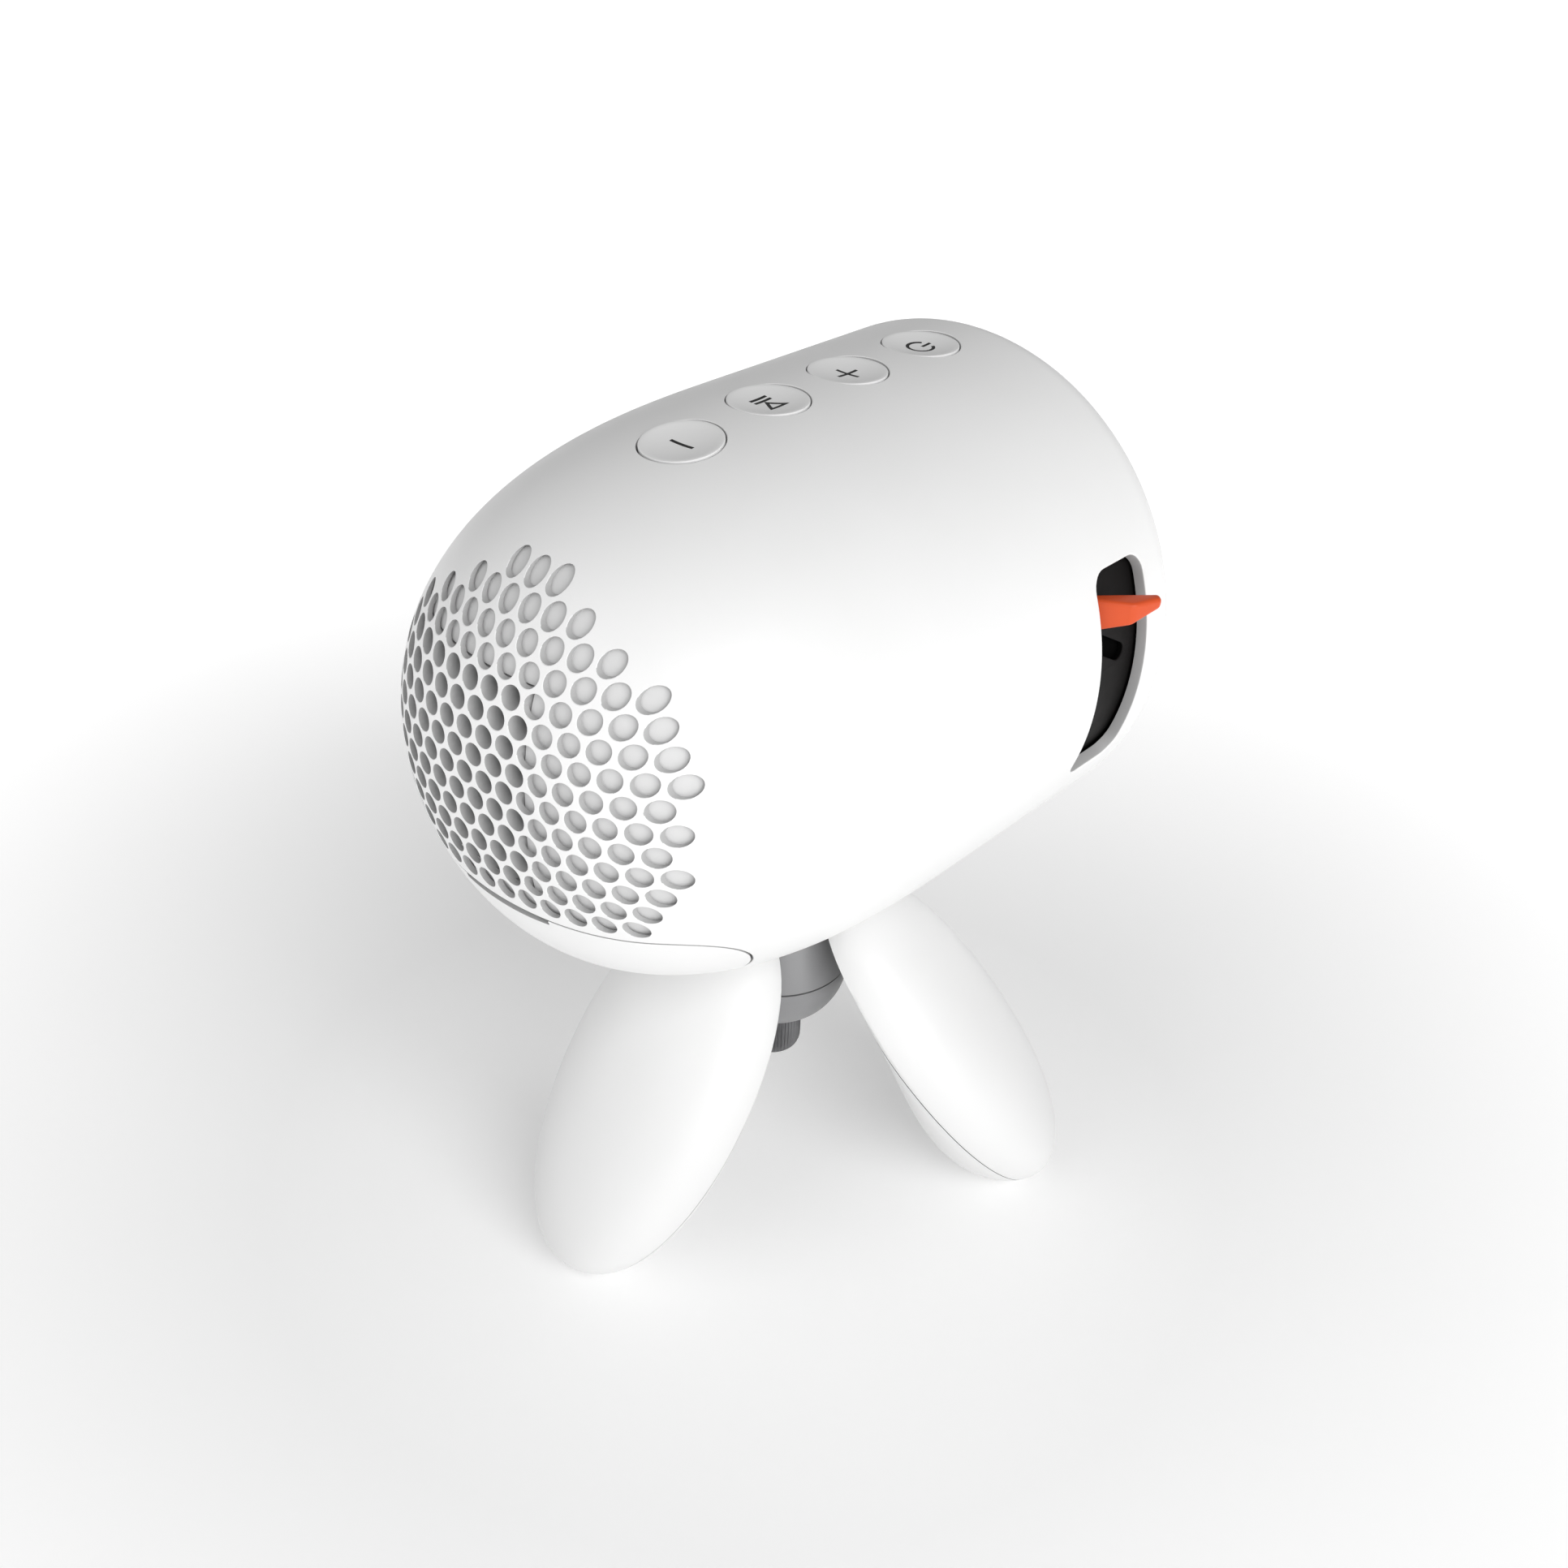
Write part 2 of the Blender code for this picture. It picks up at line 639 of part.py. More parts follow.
def lever_corners():
    """Top and underside corners of the lever, from the rear of its root round to the front."""
    tops, unders = [], []
    outer = (LEVER_ELBOW, LEVER_TIP_REAR, LEVER_TIP_FRONT)
    for height, corners in ((LEVER_TOP, tops), (LEVER_ROOT_UNDER, unders)):
        root = math.sqrt(LEVER_ROOT_R ** 2 - height ** 2)
        corners.append(body_point(LEVER_ROOT_REAR, -root, height))
        for out, station, under in outer:
            up = height if corners is tops else under
            corners.append(body_point(station, -out, up))
        corners.append(body_point(LEVER_ROOT_FRONT, -root, height))
    return tops, unders


def make_focus_lever():
    """Orange tab that stands on the drum, slants forward and comes out through the slot."""
    shape = bmesh.new()
    tops, unders = [[shape.verts.new(at) for at in loop] for loop in lever_corners()]
    shape.faces.new(tops)
    shape.faces.new((unders[0], unders[1], unders[4]))
    shape.faces.new((unders[1], unders[2], unders[3], unders[4]))
    for i in range(5):
        j = (i + 1) % 5
        shape.faces.new((tops[i], tops[j], unders[j], unders[i]))
    root = {tops[0], tops[4], unders[0], unders[4]}
    fold = {unders[1], unders[4]}
    outer = [e for e in shape.edges if not set(e.verts) <= root and set(e.verts) != fold]
    bmesh.ops.recalc_face_normals(shape, faces=shape.faces)
    bmesh.ops.bevel(shape, geom=outer, offset=LEVER_ROUNDING, segments=3, profile=0.5,
                    affect="EDGES")
    bmesh.ops.triangulate(shape, faces=shape.faces)
    return smooth(pivot_at(from_bmesh("focus_lever", shape, orange_plastic()), AXIS.copy()))


GUIDE_R, GUIDE_BORE = 12.0 * MM, 10.6 * MM
GUIDE_REAR, GUIDE_FRONT = 15.0 * MM, 23.8 * MM
GUIDE_FLANGE_R, GUIDE_FLANGE_FRONT = 13.2 * MM, 16.4 * MM
BARREL_BORE = 8.6 * MM
BARREL_REAR, BARREL_FRONT = 18.0 * MM, 36.5 * MM
LENS_R = BARREL_BORE - GAP
LENS_HALF = 0.9 * MM
LENSES = {"front_lens": (34.0 * MM, 1.6 * MM), "rear_lens": (21.0 * MM, 1.0 * MM)}


def make_lens_guide():
    """Fixed tube that the barrel slides in, with a flange at its rear."""
    profile = [(GUIDE_R, GUIDE_FRONT), (GUIDE_R, GUIDE_FLANGE_FRONT)]
    profile += [(GUIDE_FLANGE_R, GUIDE_FLANGE_FRONT), (GUIDE_FLANGE_R, GUIDE_REAR)]
    profile += [(GUIDE_BORE, GUIDE_REAR), (GUIDE_BORE, GUIDE_FRONT)]
    return smooth(turned("lens_guide", profile, AXIS, dark_plastic(), along_body=True))


def make_lens_barrel():
    profile = [(BARREL_R, BARREL_FRONT), (BARREL_R, BARREL_REAR)]
    profile += [(BARREL_BORE, BARREL_REAR), (BARREL_BORE, BARREL_FRONT)]
    tube = turned("lens_barrel", profile, AXIS, dark_plastic(), along_body=True)
    return smooth(pivot_at(tube, body_point(BARREL_REAR)))


def make_lenses():
    """Two glass elements, bulged towards the front and flat at the back."""
    steps = 3
    for name, (station, bulge) in LENSES.items():
        profile = []
        for i in range(steps + 1):
            share = i / steps
            profile.append((LENS_R * share, station + LENS_HALF + bulge * (1 - share ** 2)))
        profile += [(LENS_R, station - LENS_HALF), (0.0, station - LENS_HALF)]
        lens = turned(name, profile, AXIS, glass(), along_body=True)
        smooth(pivot_at(lens, body_point(station)))


# ---------------------------------------------------------------- light engine and electronics

def make_light_engine():
    """Housing of the picture source, with its chip board behind and a lamp board on each side."""
    size = Vector((34, 23, 22)) * MM
    centre = body_point(3.3 * MM, 0.0, -1.5 * MM)
    engine = block("light_engine", size, centre, dark_plastic(), 1.2 * MM)
    cut(engine, rod("light_way", 8 * MM, body_point(20 * MM), body_point(-2 * MM)))
    board = Vector((24, 1.2, 18)) * MM
    block("imager_board", board, body_point(-9.2 * MM, 0.0, -2.0 * MM), circuit_board())
    chip = Vector((12, 1.6, 9)) * MM
    block("imager_chip", chip, body_point(-11.0 * MM, 0.0, -1.5 * MM), chip_black())
    lamp_board = Vector((1.4, 18, 16)) * MM
    for side, name in ((-1, "red_light_board"), (1, "blue_light_board")):
        lamp_centre = body_point(3.0 * MM, side * 18.1 * MM, -2.0 * MM)
        block(name, lamp_board, lamp_centre, circuit_board())
    return smooth(engine)


FIN_COUNT = 9
FIN_PITCH = 4.5 * MM
HEAT_SINK_UP = -3.5 * MM


def make_heat_sink():
    """Aluminium comb behind the light engine, its fins open to the fan."""
    stuff = material("aluminium", (0.7, 0.7, 0.72), 0.35, 1.0)
    plate_size = Vector((40, 2.5, 18)) * MM
    base = block("heat_sink", plate_size, body_point(-14.4 * MM, 0.0, HEAT_SINK_UP), stuff)
    fin_size = Vector((1.2, 13, 18)) * MM
    for i in range(FIN_COUNT):
        across = (i - (FIN_COUNT - 1) / 2) * FIN_PITCH
        fin_centre = body_point(-21.5 * MM, across, HEAT_SINK_UP)
        join(base, block(f"fin_{i}", fin_size, fin_centre))
    return base


FAN_ACROSS, FAN_UP = 13.5 * MM, 1.5 * MM
FAN_REAR, FAN_FRONT = -43.0 * MM, -36.0 * MM
FAN_WALL = 1.6 * MM
FAN_BLADES = 7
BLADE_PITCH = 38.0
BLADE = Vector((1.0, 4.6, 7.2)) * MM


def fan_point(station):
    """World point on the fan's axis."""
    return body_point(station, FAN_ACROSS, FAN_UP)


def make_fan_frame():
    """Square frame round the rotor, with a cross at its front that carries the motor."""
    size = (24 * MM, FAN_FRONT - FAN_REAR, 24 * MM)
    frame = block("fan_frame", size, fan_point((FAN_REAR + FAN_FRONT) / 2), dark_plastic())
    well = rod("fan_well", 11.2 * MM, fan_point(FAN_REAR - MM), fan_point(FAN_FRONT - FAN_WALL))
    way = rod("fan_way", 10.6 * MM, fan_point(FAN_REAR), fan_point(FAN_FRONT + MM))
    cut(frame, well, way)
    strut = Vector((23, 1.2, 2.0)) * MM
    for name, size in (("level", strut), ("upright", Vector((strut.z, strut.y, strut.x)))):
        join(frame, block(f"fan_strut_{name}", size, fan_point(FAN_FRONT - strut.y / 2)))
    return frame


def make_fan_rotor():
    """Hub with pitched blades."""
    middle = (FAN_REAR + FAN_FRONT) / 2
    start, end = fan_point(FAN_FRONT - FAN_WALL), fan_point(FAN_REAR + 0.8 * MM)
    rotor = rod("fan_rotor", 4.6 * MM, start, end, grey_plastic())
    pitch = Matrix.Rotation(math.radians(BLADE_PITCH), 4, "Z")
    slab = Matrix.Diagonal((*BLADE, 1.0))
    for i in range(FAN_BLADES):
        turn = Matrix.Rotation(math.tau * i / FAN_BLADES, 4, "Y")
        place = Matrix.Translation(fan_point(middle - GAP)) @ turn
        shape = bmesh.new()
        outwards = Matrix.Translation((0.0, 0.0, 7.0 * MM))
        bmesh.ops.create_cube(shape, size=1.0, matrix=place @ outwards @ pitch @ slab)
        join(rotor, from_bmesh(f"blade_{i}", shape))
    return smooth(pivot_at(rotor, fan_point(middle)))


SPEAKER_FACE, SPEAKER_BACK = -43.5 * MM, -35.0 * MM
SPEAKER_R, MAGNET_R, CONE_R = 13.0 * MM, 7.5 * MM, 11.8 * MM


def make_speaker():
    """Round driver with its cone facing the vents."""
    centre = body_point(0.0, -FAN_ACROSS, FAN_UP)
    profile = [(0.0, SPEAKER_BACK), (MAGNET_R, SPEAKER_BACK)]
    profile += [(MAGNET_R, SPEAKER_BACK - 4 * MM), (SPEAKER_R, SPEAKER_FACE + 1.5 * MM)]
    profile += [(SPEAKER_R, SPEAKER_FACE), (CONE_R, SPEAKER_FACE)]
    profile += [(4.5 * MM, SPEAKER_FACE + 3.0 * MM), (0.0, SPEAKER_FACE + 1.8 * MM)]
    return smooth(turned("speaker", profile, centre, dark_plastic(), along_body=True))


def chassis_outline(up, front, rear, spare):
    """Level outline that follows the inside of the body at a height, left and right alike."""
    side = []
    count = 8
    for i in range(count + 1):
        station = front + (rear - front) * i / count
        reach = dome_radius(station, WALL) - spare
        side.append((math.sqrt(reach ** 2 - up ** 2), -station))
    return side + [(-across, along) for across, along in reversed(side)]


def make_chassis():
    outline = chassis_outline(CHASSIS_BOTTOM, 15.5 * MM, -33.0 * MM, 0.6 * MM)
    middle = (CHASSIS_TOP + CHASSIS_BOTTOM) / 2
    return plate("chassis", outline, CHASSIS_TOP - CHASSIS_BOTTOM, lying(middle), dark_plastic())


STANDOFFS = ((-18, 9), (18, 9), (-16, -20), (16, -20))


def make_main_board():
    outline = chassis_outline(BOARD_BOTTOM, 14.0 * MM, -36.0 * MM, 1.2 * MM)
    middle = (BOARD_TOP + BOARD_BOTTOM) / 2
    thickness = BOARD_TOP - BOARD_BOTTOM
    board = plate("main_board", outline, thickness, lying(middle), circuit_board())
    chip = Vector((14, 14, 1.6)) * MM
    place = body_point(-4 * MM, 0.0, BOARD_TOP + GAP + chip.z / 2)
    block("main_chip", chip, place, chip_black())
    return board


def make_standoffs():
    """Brass pillars between the main board and the chassis."""
    for i, (across, station) in enumerate(STANDOFFS):
        low = body_point(station * MM, across * MM, BOARD_TOP + GAP)
        high = body_point(station * MM, across * MM, CHASSIS_BOTTOM - GAP)
        smooth(rod(f"standoff_{i + 1}", 1.8 * MM, low, high, brass(), 12))


SOCKETS = {
    "hdmi_socket": {"across": -12.0, "size": (15.6, 11.0, 6.4), "hole": (13.8, 4.6)},
    "usb_socket": {"across": 3.6, "size": (13.4, 11.0, 6.4), "hole": (11.8, 4.6)},
    "power_inlet": {"across": 15.6, "size": (8.4, 11.0, 8.0), "hole": (5.6, 5.6)},
}


def make_sockets():
    """Open-mouthed sockets that face the rear behind the hatch."""
    for name, spec in SOCKETS.items():
        wide, deep, tall = (value * MM for value in spec["size"])
        middle = BOARD_TOP + 0.3 * MM + tall / 2
        centre = body_point(SOCKET_MOUTH + deep / 2, spec["across"] * MM, middle)
        stuff = dark_plastic() if name == "power_inlet" else steel()
        socket = block(name, (wide, deep, tall), centre, stuff)
        hole_wide, hole_tall = (value * MM for value in spec["hole"])
        hole_deep = deep - 1.5 * MM
        mouth = body_point(SOCKET_MOUTH + hole_deep / 2 - MM, spec["across"] * MM, middle)
        cut(socket, block(f"{name}_mouth", (hole_wide, hole_deep + 2 * MM, hole_tall), mouth))


def make_battery():
    cell = Vector((38, 46, 11)) * MM
    return block("battery_pack", cell, body_point(-10.0 * MM, 0.0, 20.0 * MM),
                 material("battery_wrap", (0.05, 0.12, 0.35), 0.4), 1.5 * MM)


# ---------------------------------------------------------------- buttons

BUTTON_BOARD_TOP = 29.6 * MM
BUTTON_BOARD_THICKNESS = 1.2 * MM
SWITCH_BODY = Vector((4.6, 4.6, 1.4)) * MM
SWITCH_TOP = BUTTON_BOARD_TOP + 2.0 * MM
FLANGE_THICKNESS = 1.0 * MM


def flange_height(station, radius):
    """Highest flat level that a disc of this radius can take under the wall."""
    reach = min(dome_radius(station - radius, WALL), dome_radius(station + radius, WALL))
    return math.sqrt(reach ** 2 - radius ** 2) - 0.25 * MM


def dish_cutter(name, station):
    """Shallow round bowl that sinks the middle of a button, square to the body's surface."""
    steps = 4
    reach = BUTTON_R + MM
    profile = []
    for i in range(steps + 1):
        radius = reach * i / steps
        profile.append((radius, radius ** 2 / (2 * BUTTON_DISH_R)))
    profile += [(reach, 5 * MM), (0.0, 5 * MM)]
    bowl = turned(f"{name}_dish", profile, Vector((0.0, 0.0, 0.0)), None, sides=20)
    slope = (dome_radius(station + MM) - dome_radius(station - MM)) / (2 * MM)
    bottom = dome_radius(station) - BUTTON_SUNK - BUTTON_DISH
    tilt = Matrix.Rotation(-math.atan(slope), 4, "X")
    bowl.matrix_world = Matrix.Translation(body_point(station, 0.0, bottom)) @ tilt
    return bowl


def make_button(name, station, core):
    """Dished cap that follows the body's surface, with a flange under the wall and a stem."""
    flange_r = BUTTON_R + 0.8 * MM
    flange_top = flange_height(station, flange_r)
    middle = body_point(station, 0.0, flange_top - FLANGE_THICKNESS / 2)
    cap = rod(f"button_{name}", BUTTON_R - 0.1 * MM, middle, body_point(station, 0.0, 45 * MM),
              white_plastic())
    boolean(cap, "INTERSECT", core)
    cut(cap, dish_cutter(name, station))
    low_face = body_point(station, 0.0, flange_top - FLANGE_THICKNESS)
    high_face = body_point(station, 0.0, flange_top)
    join(cap, rod(f"{name}_flange", flange_r, low_face, high_face, None, 16))
    stem_foot = body_point(station, 0.0, SWITCH_TOP + BUTTON_TRAVEL + 0.15 * MM)
    join(cap, rod(f"{name}_stem", 1.4 * MM, stem_foot, middle, None, 8))
    return smooth(pivot_at(cap, high_face))


def make_switch(name, station):
    """Tact switch with its plunger under the button's stem."""
    middle = body_point(station, 0.0, BUTTON_BOARD_TOP + GAP + SWITCH_BODY.z / 2)
    switch = block(f"switch_{name}", SWITCH_BODY, middle, steel())
    top = body_point(station, 0.0, SWITCH_TOP)
    return join(switch, rod(f"{name}_plunger", 1.0 * MM, middle, top, None, 8))


def make_button_board():
    stations = list(button_stations().values())
    size = (9 * MM, stations[-1] - stations[0] + 11 * MM, BUTTON_BOARD_THICKNESS)
    middle = (stations[0] + stations[-1]) / 2
    centre = body_point(middle, 0.0, BUTTON_BOARD_TOP - BUTTON_BOARD_THICKNESS / 2)
    return block("button_board", size, centre, circuit_board())


# ---------------------------------------------------------------- tripod

NECK_BORE = 3.5 * MM
SEAT_R, SEAT_TOP, SEAT_BOTTOM = 6.0 * MM, -40.3 * MM, -46.4 * MM
CONE_TOP_R = 8.6 * MM
SEAM_R, SEAM_TOP, SEAM_BOTTOM = 0.299 * BODY_R, -1.396 * BODY_R, -1.404 * BODY_R
BOWL_FOOT_R, BOWL_BOTTOM = 0.109 * BODY_R, -1.642 * BODY_R
KNOB_R, KNOB_TOP, KNOB_BOTTOM = 0.117 * BODY_R, -1.650 * BODY_R, -1.869 * BODY_R
KNOB_ROUND = 0.06 * BODY_R
SCREW_R, SCREW_TIP = 2.9 * MM, -32.0 * MM


def make_tripod_bush():
    """Threaded insert in the body's boss."""
    high, low = BUSH_DROPS
    inside = NECK_BORE - 0.05 * MM
    profile = [(inside, -high), (BUSH_R, -high), (BUSH_R, -low), (inside, -low)]
    return smooth(turned("tripod_bush", profile, body_point(TRIPOD_STATION), brass()))


def make_neck():
    """Grey stem: a short seat for the leg collar, then a cone that opens down to its seam."""
    profile = [(NECK_BORE, SEAT_TOP), (SEAT_R, SEAT_TOP), (SEAT_R, SEAT_BOTTOM)]
    profile += [(CONE_TOP_R, SEAT_BOTTOM), (SEAM_R, SEAM_TOP), (NECK_BORE, SEAM_TOP)]
    return smooth(turned("neck", profile, body_point(TRIPOD_STATION), grey_plastic()))


def make_neck_bowl():
    """Bowl under the neck's seam, a quarter ellipse in profile."""
    profile = [(NECK_BORE, SEAM_BOTTOM)]
    count = 6
    for i in range(count):
        angle = math.pi / 2 * i / (count - 1)
        radius = BOWL_FOOT_R + (SEAM_R - BOWL_FOOT_R) * math.cos(angle)
        profile.append((radius, SEAM_BOTTOM + (BOWL_BOTTOM - SEAM_BOTTOM) * math.sin(angle)))
    profile.append((NECK_BORE, BOWL_BOTTOM))
    return smooth(turned("neck_bowl", profile, body_point(TRIPOD_STATION), grey_plastic()))


def make_tripod_screw():
    """Quarter-inch screw with its thumb knob below the bowl."""
    profile = [(0.0, SCREW_TIP), (SCREW_R, SCREW_TIP - 0.6 * MM), (SCREW_R, KNOB_TOP)]
    profile.append((KNOB_R, KNOB_TOP))
    profile += arc((KNOB_R - KNOB_ROUND, KNOB_BOTTOM + KNOB_ROUND), KNOB_ROUND, 0, -90, 3)
    profile.append((0.0, KNOB_BOTTOM))
    screw = turned("tripod_screw", profile, body_point(TRIPOD_STATION), steel(), sides=20)
    return smooth(pivot_at(screw, tripod_axis_point(-KNOB_TOP)))


def leg_frame(azimuth):
    """Outward and sideways unit vectors of a leg."""
    angle = math.radians(azimuth)
    outward = Vector((math.cos(angle), math.sin(angle), 0.0))
    return outward, Vector((-outward.y, outward.x, 0.0))


def leg_pivot(azimuth):
    outward, _ = leg_frame(azimuth)
    return tripod_axis_point(LEG_PIVOT_DROP) + outward * LEG_PIVOT_REACH


def leg_pin_bore(name, azimuth):
    """Clearance hole for a leg pin, right through the hinge."""
    _, sideways = leg_frame(azimuth)
    pivot = leg_pivot(azimuth)
    wide = sideways * 12 * MM
    return rod(name, LEG_PIN_R + 0.25 * MM, pivot - wide, pivot + wide, None, 12)


def standing_plate(outward, point):
    """Places a plate upright along a leg: its X is outward and its Y is up."""
    up = Vector((0.0, 0.0, 1.0))
    turn = Matrix((outward, up, outward.cross(up))).transposed().to_4x4()
    return Matrix.Translation(point) @ turn


COLLAR_BORE, COLLAR_R = 6.3 * MM, 8.4 * MM
COLLAR_TOP, COLLAR_BOTTOM = -41.4 * MM, -46.1 * MM
TONGUE_ROOT, TONGUE_HALF = 7.3 * MM, 2.1 * MM


def make_leg_hub():
    """Collar on the neck with one round-ended tongue for each leg."""
    profile = [(COLLAR_BORE, COLLAR_TOP), (COLLAR_R, COLLAR_TOP)]
    profile += [(COLLAR_R, COLLAR_BOTTOM), (COLLAR_BORE, COLLAR_BOTTOM)]
    centre = body_point(TRIPOD_STATION)
    hub = turned("leg_hub", profile, centre, grey_plastic(), sides=30)
    root = TONGUE_ROOT - LEG_PIVOT_REACH
    outline = [(root, -TONGUE_HALF)] + arc((0.0, 0.0), TONGUE_HALF, -90, 90, 7)
    outline.append((root, TONGUE_HALF))
    for name, azimuth in PETAL_AZIMUTHS.items():
        outward, _ = leg_frame(azimuth)
        place = standing_plate(outward, leg_pivot(azimuth))
        join(hub, plate(f"tongue_{name}", outline, TONGUE_WIDTH, place))
        cut(hub, leg_pin_bore(f"tongue_bore_{name}", azimuth))
    return smooth(hub)


def petal_point(across_share, along_share, depth_share):
    """Maps a point of a unit sphere onto the pebble form, in the petal's own directions.

    along runs from the hinge end to the foot, across is sideways, depth is towards the outside.
    """
    flat = math.hypot(across_share, along_share)
    level = abs(depth_share)
    outer = depth_share >= 0.0
    power = OUTER_POWER if outer else INNER_POWER
    ring = (1.0 - min(1.0, level) ** power) ** (1.0 / power)
    cosine = along_share / flat if flat > 1e-9 else 0.0
    sine = across_share / flat if flat > 1e-9 else 0.0
    along = ring * signed_power(cosine, 2 / PETAL_OUTLINE_POWER)
    across = ring * signed_power(sine, 2 / PETAL_OUTLINE_POWER) * (1.0 + PETAL_TAPER * ring * cosine)
    bulge, lean = (OUTER_BULGE, OUTER_LEAN) if outer else (-INNER_BULGE, INNER_LEAN)
    return across * PETAL_WIDTH, along * PETAL_LENGTH, bulge * level * (1.0 + lean * along)


PETAL_SEGMENTS, PETAL_RINGS = 24, 10
TONGUE_ROOM = (12 * MM, TONGUE_WIDTH + 2 * GAP, 14 * MM)
TONGUE_ROOM_REACH = 9.6 * MM
HUB_ROOM_R = 9.2 * MM
HUB_ROOM_DROPS = (50 * MM, 38 * MM)


def make_petal(side, azimuth):
    """The pebble form of a leg, before anything is cut from it, and its centre."""
    outward, sideways = leg_frame(azimuth)
    up = Vector((0.0, 0.0, 1.0))
    towards_foot = math.sin(PETAL_TILT) * outward - math.cos(PETAL_TILT) * up
    facing = math.cos(PETAL_TILT) * outward + math.sin(PETAL_TILT) * up
    centre = tripod_axis_point(PETAL_DROP) + outward * PETAL_REACH
    shape = bmesh.new()
    bmesh.ops.create_uvsphere(shape, u_segments=PETAL_SEGMENTS, v_segments=PETAL_RINGS, radius=1.0)
    for vertex in shape.verts:
        across, along, depth = petal_point(vertex.co.x, vertex.co.y, vertex.co.z)
        vertex.co = centre + sideways * across + towards_foot * along + facing * depth
    return from_bmesh(f"leg_{side}", shape, white_plastic()), centre


def tongue_room(side, azimuth):
    """Box that makes room in a leg for the hub's tongue."""
    outward, _ = leg_frame(azimuth)
    middle = tripod_axis_point(LEG_PIVOT_DROP) + outward * TONGUE_ROOM_REACH
    turn = Matrix.Rotation(math.radians(azimuth), 4, "Z")
    place = Matrix.Translation(middle) @ turn @ Matrix.Diagonal((*TONGUE_ROOM, 1.0))
    shape = bmesh.new()
    bmesh.ops.create_cube(shape, size=1.0, matrix=place)
    return from_bmesh(f"tongue_room_{side}", shape)


def make_leg(side, azimuth):
    """Petal-shaped leg, hollowed for the hub's tongue, with a small flat under its foot."""
    leg, centre = make_petal(side, azimuth)
    low, high = (tripod_axis_point(drop) for drop in HUB_ROOM_DROPS)
    cut(leg, tongue_room(side, azimuth), leg_pin_bore(f"leg_bore_{side}", azimuth))
    cut(leg, rod(f"hub_room_{side}", HUB_ROOM_R, low, high, None, 24))
    table = Vector((90, 90, 10)) * MM
    cut(leg, block(f"table_{side}", table, Vector((centre.x, centre.y, -table.z / 2))))
    return smooth(pivot_at(leg, leg_pivot(azimuth)))


def make_leg_pin(side, azimuth):
    _, sideways = leg_frame(azimuth)
    pivot, half = leg_pivot(azimuth), sideways * LEG_PIN_HALF
    return smooth(rod(f"leg_pin_{side}", LEG_PIN_R, pivot - half, pivot + half, steel(), 12))


# ---------------------------------------------------------------- the whole projector

make_body_shell()
make_rear_hatch()
make_hatch_pin()
make_vent_liner()
make_front_cap()
make_front_panel()
make_lens_window()
make_focus_ring()
make_focus_lever()
make_lens_guide()
make_lens_barrel()
make_lenses()
make_light_engine()
make_heat_sink()
make_fan_frame()
make_fan_rotor()
make_speaker()
make_chassis()
make_main_board()
make_standoffs()
make_sockets()
make_battery()
button_core = core_blank("button_core", BUTTON_SUNK)
for button, button_station in button_stations().items():
    make_button(button, button_station, button_core)
    make_switch(button, button_station)
make_button_board()
make_tripod_bush()
make_neck()
make_neck_bowl()
make_tripod_screw()
make_leg_hub()
for leg_side, leg_azimuth in PETAL_AZIMUTHS.items():
    make_leg(leg_side, leg_azimuth)
    make_leg_pin(leg_side, leg_azimuth)
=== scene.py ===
"""Looks of the home projector: fine shapes, materials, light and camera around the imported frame.

The lens looks along -Y and +Z is up.  As in the CAD, a "station" is a distance in front of the
shoulder where the straight cylinder turns into the rear dome, so the dome's stations are negative.
"""
import math

import bmesh
import bpy
from mathutils import Matrix, Vector
from mathutils.bvhtree import BVHTree


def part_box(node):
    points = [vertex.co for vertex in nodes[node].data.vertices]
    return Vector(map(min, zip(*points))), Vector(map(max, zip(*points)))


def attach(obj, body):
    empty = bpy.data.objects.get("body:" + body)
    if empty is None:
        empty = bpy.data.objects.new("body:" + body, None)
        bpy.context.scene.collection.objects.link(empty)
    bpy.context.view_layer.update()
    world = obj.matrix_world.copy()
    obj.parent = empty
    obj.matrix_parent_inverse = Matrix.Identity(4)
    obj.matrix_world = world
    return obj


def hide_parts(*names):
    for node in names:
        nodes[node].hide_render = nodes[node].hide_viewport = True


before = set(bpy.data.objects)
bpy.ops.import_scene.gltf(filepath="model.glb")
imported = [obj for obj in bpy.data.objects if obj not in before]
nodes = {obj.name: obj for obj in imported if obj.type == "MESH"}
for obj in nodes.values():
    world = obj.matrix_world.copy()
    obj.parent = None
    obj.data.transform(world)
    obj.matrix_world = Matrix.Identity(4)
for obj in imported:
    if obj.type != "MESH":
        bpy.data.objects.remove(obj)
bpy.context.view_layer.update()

MM = 0.001
UP = Vector((0.0, 0.0, 1.0))

# ------------ driving sizes

SHELL_LOW, SHELL_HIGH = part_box("body_shell")
BODY_R = (SHELL_HIGH.x - SHELL_LOW.x) / 2
BODY_FRONT = 1.064 * BODY_R
DOME_DEPTH = 1.507 * BODY_R
DOME_POWER = 2.70
FRONT_ROUND = 0.16 * BODY_R
WALL = 1.8 * MM
GAP = 0.3 * MM
CAP_R = 36.5 * MM
LIP_REAR = 38.0 * MM
SHOULDER_Y = SHELL_HIGH.y - DOME_DEPTH
AXIS_HEIGHT = SHELL_HIGH.z - BODY_R
AXIS = Vector((0.0, SHOULDER_Y, AXIS_HEIGHT))
SHELL_SIDES = 192
RIM = 0.16 * MM

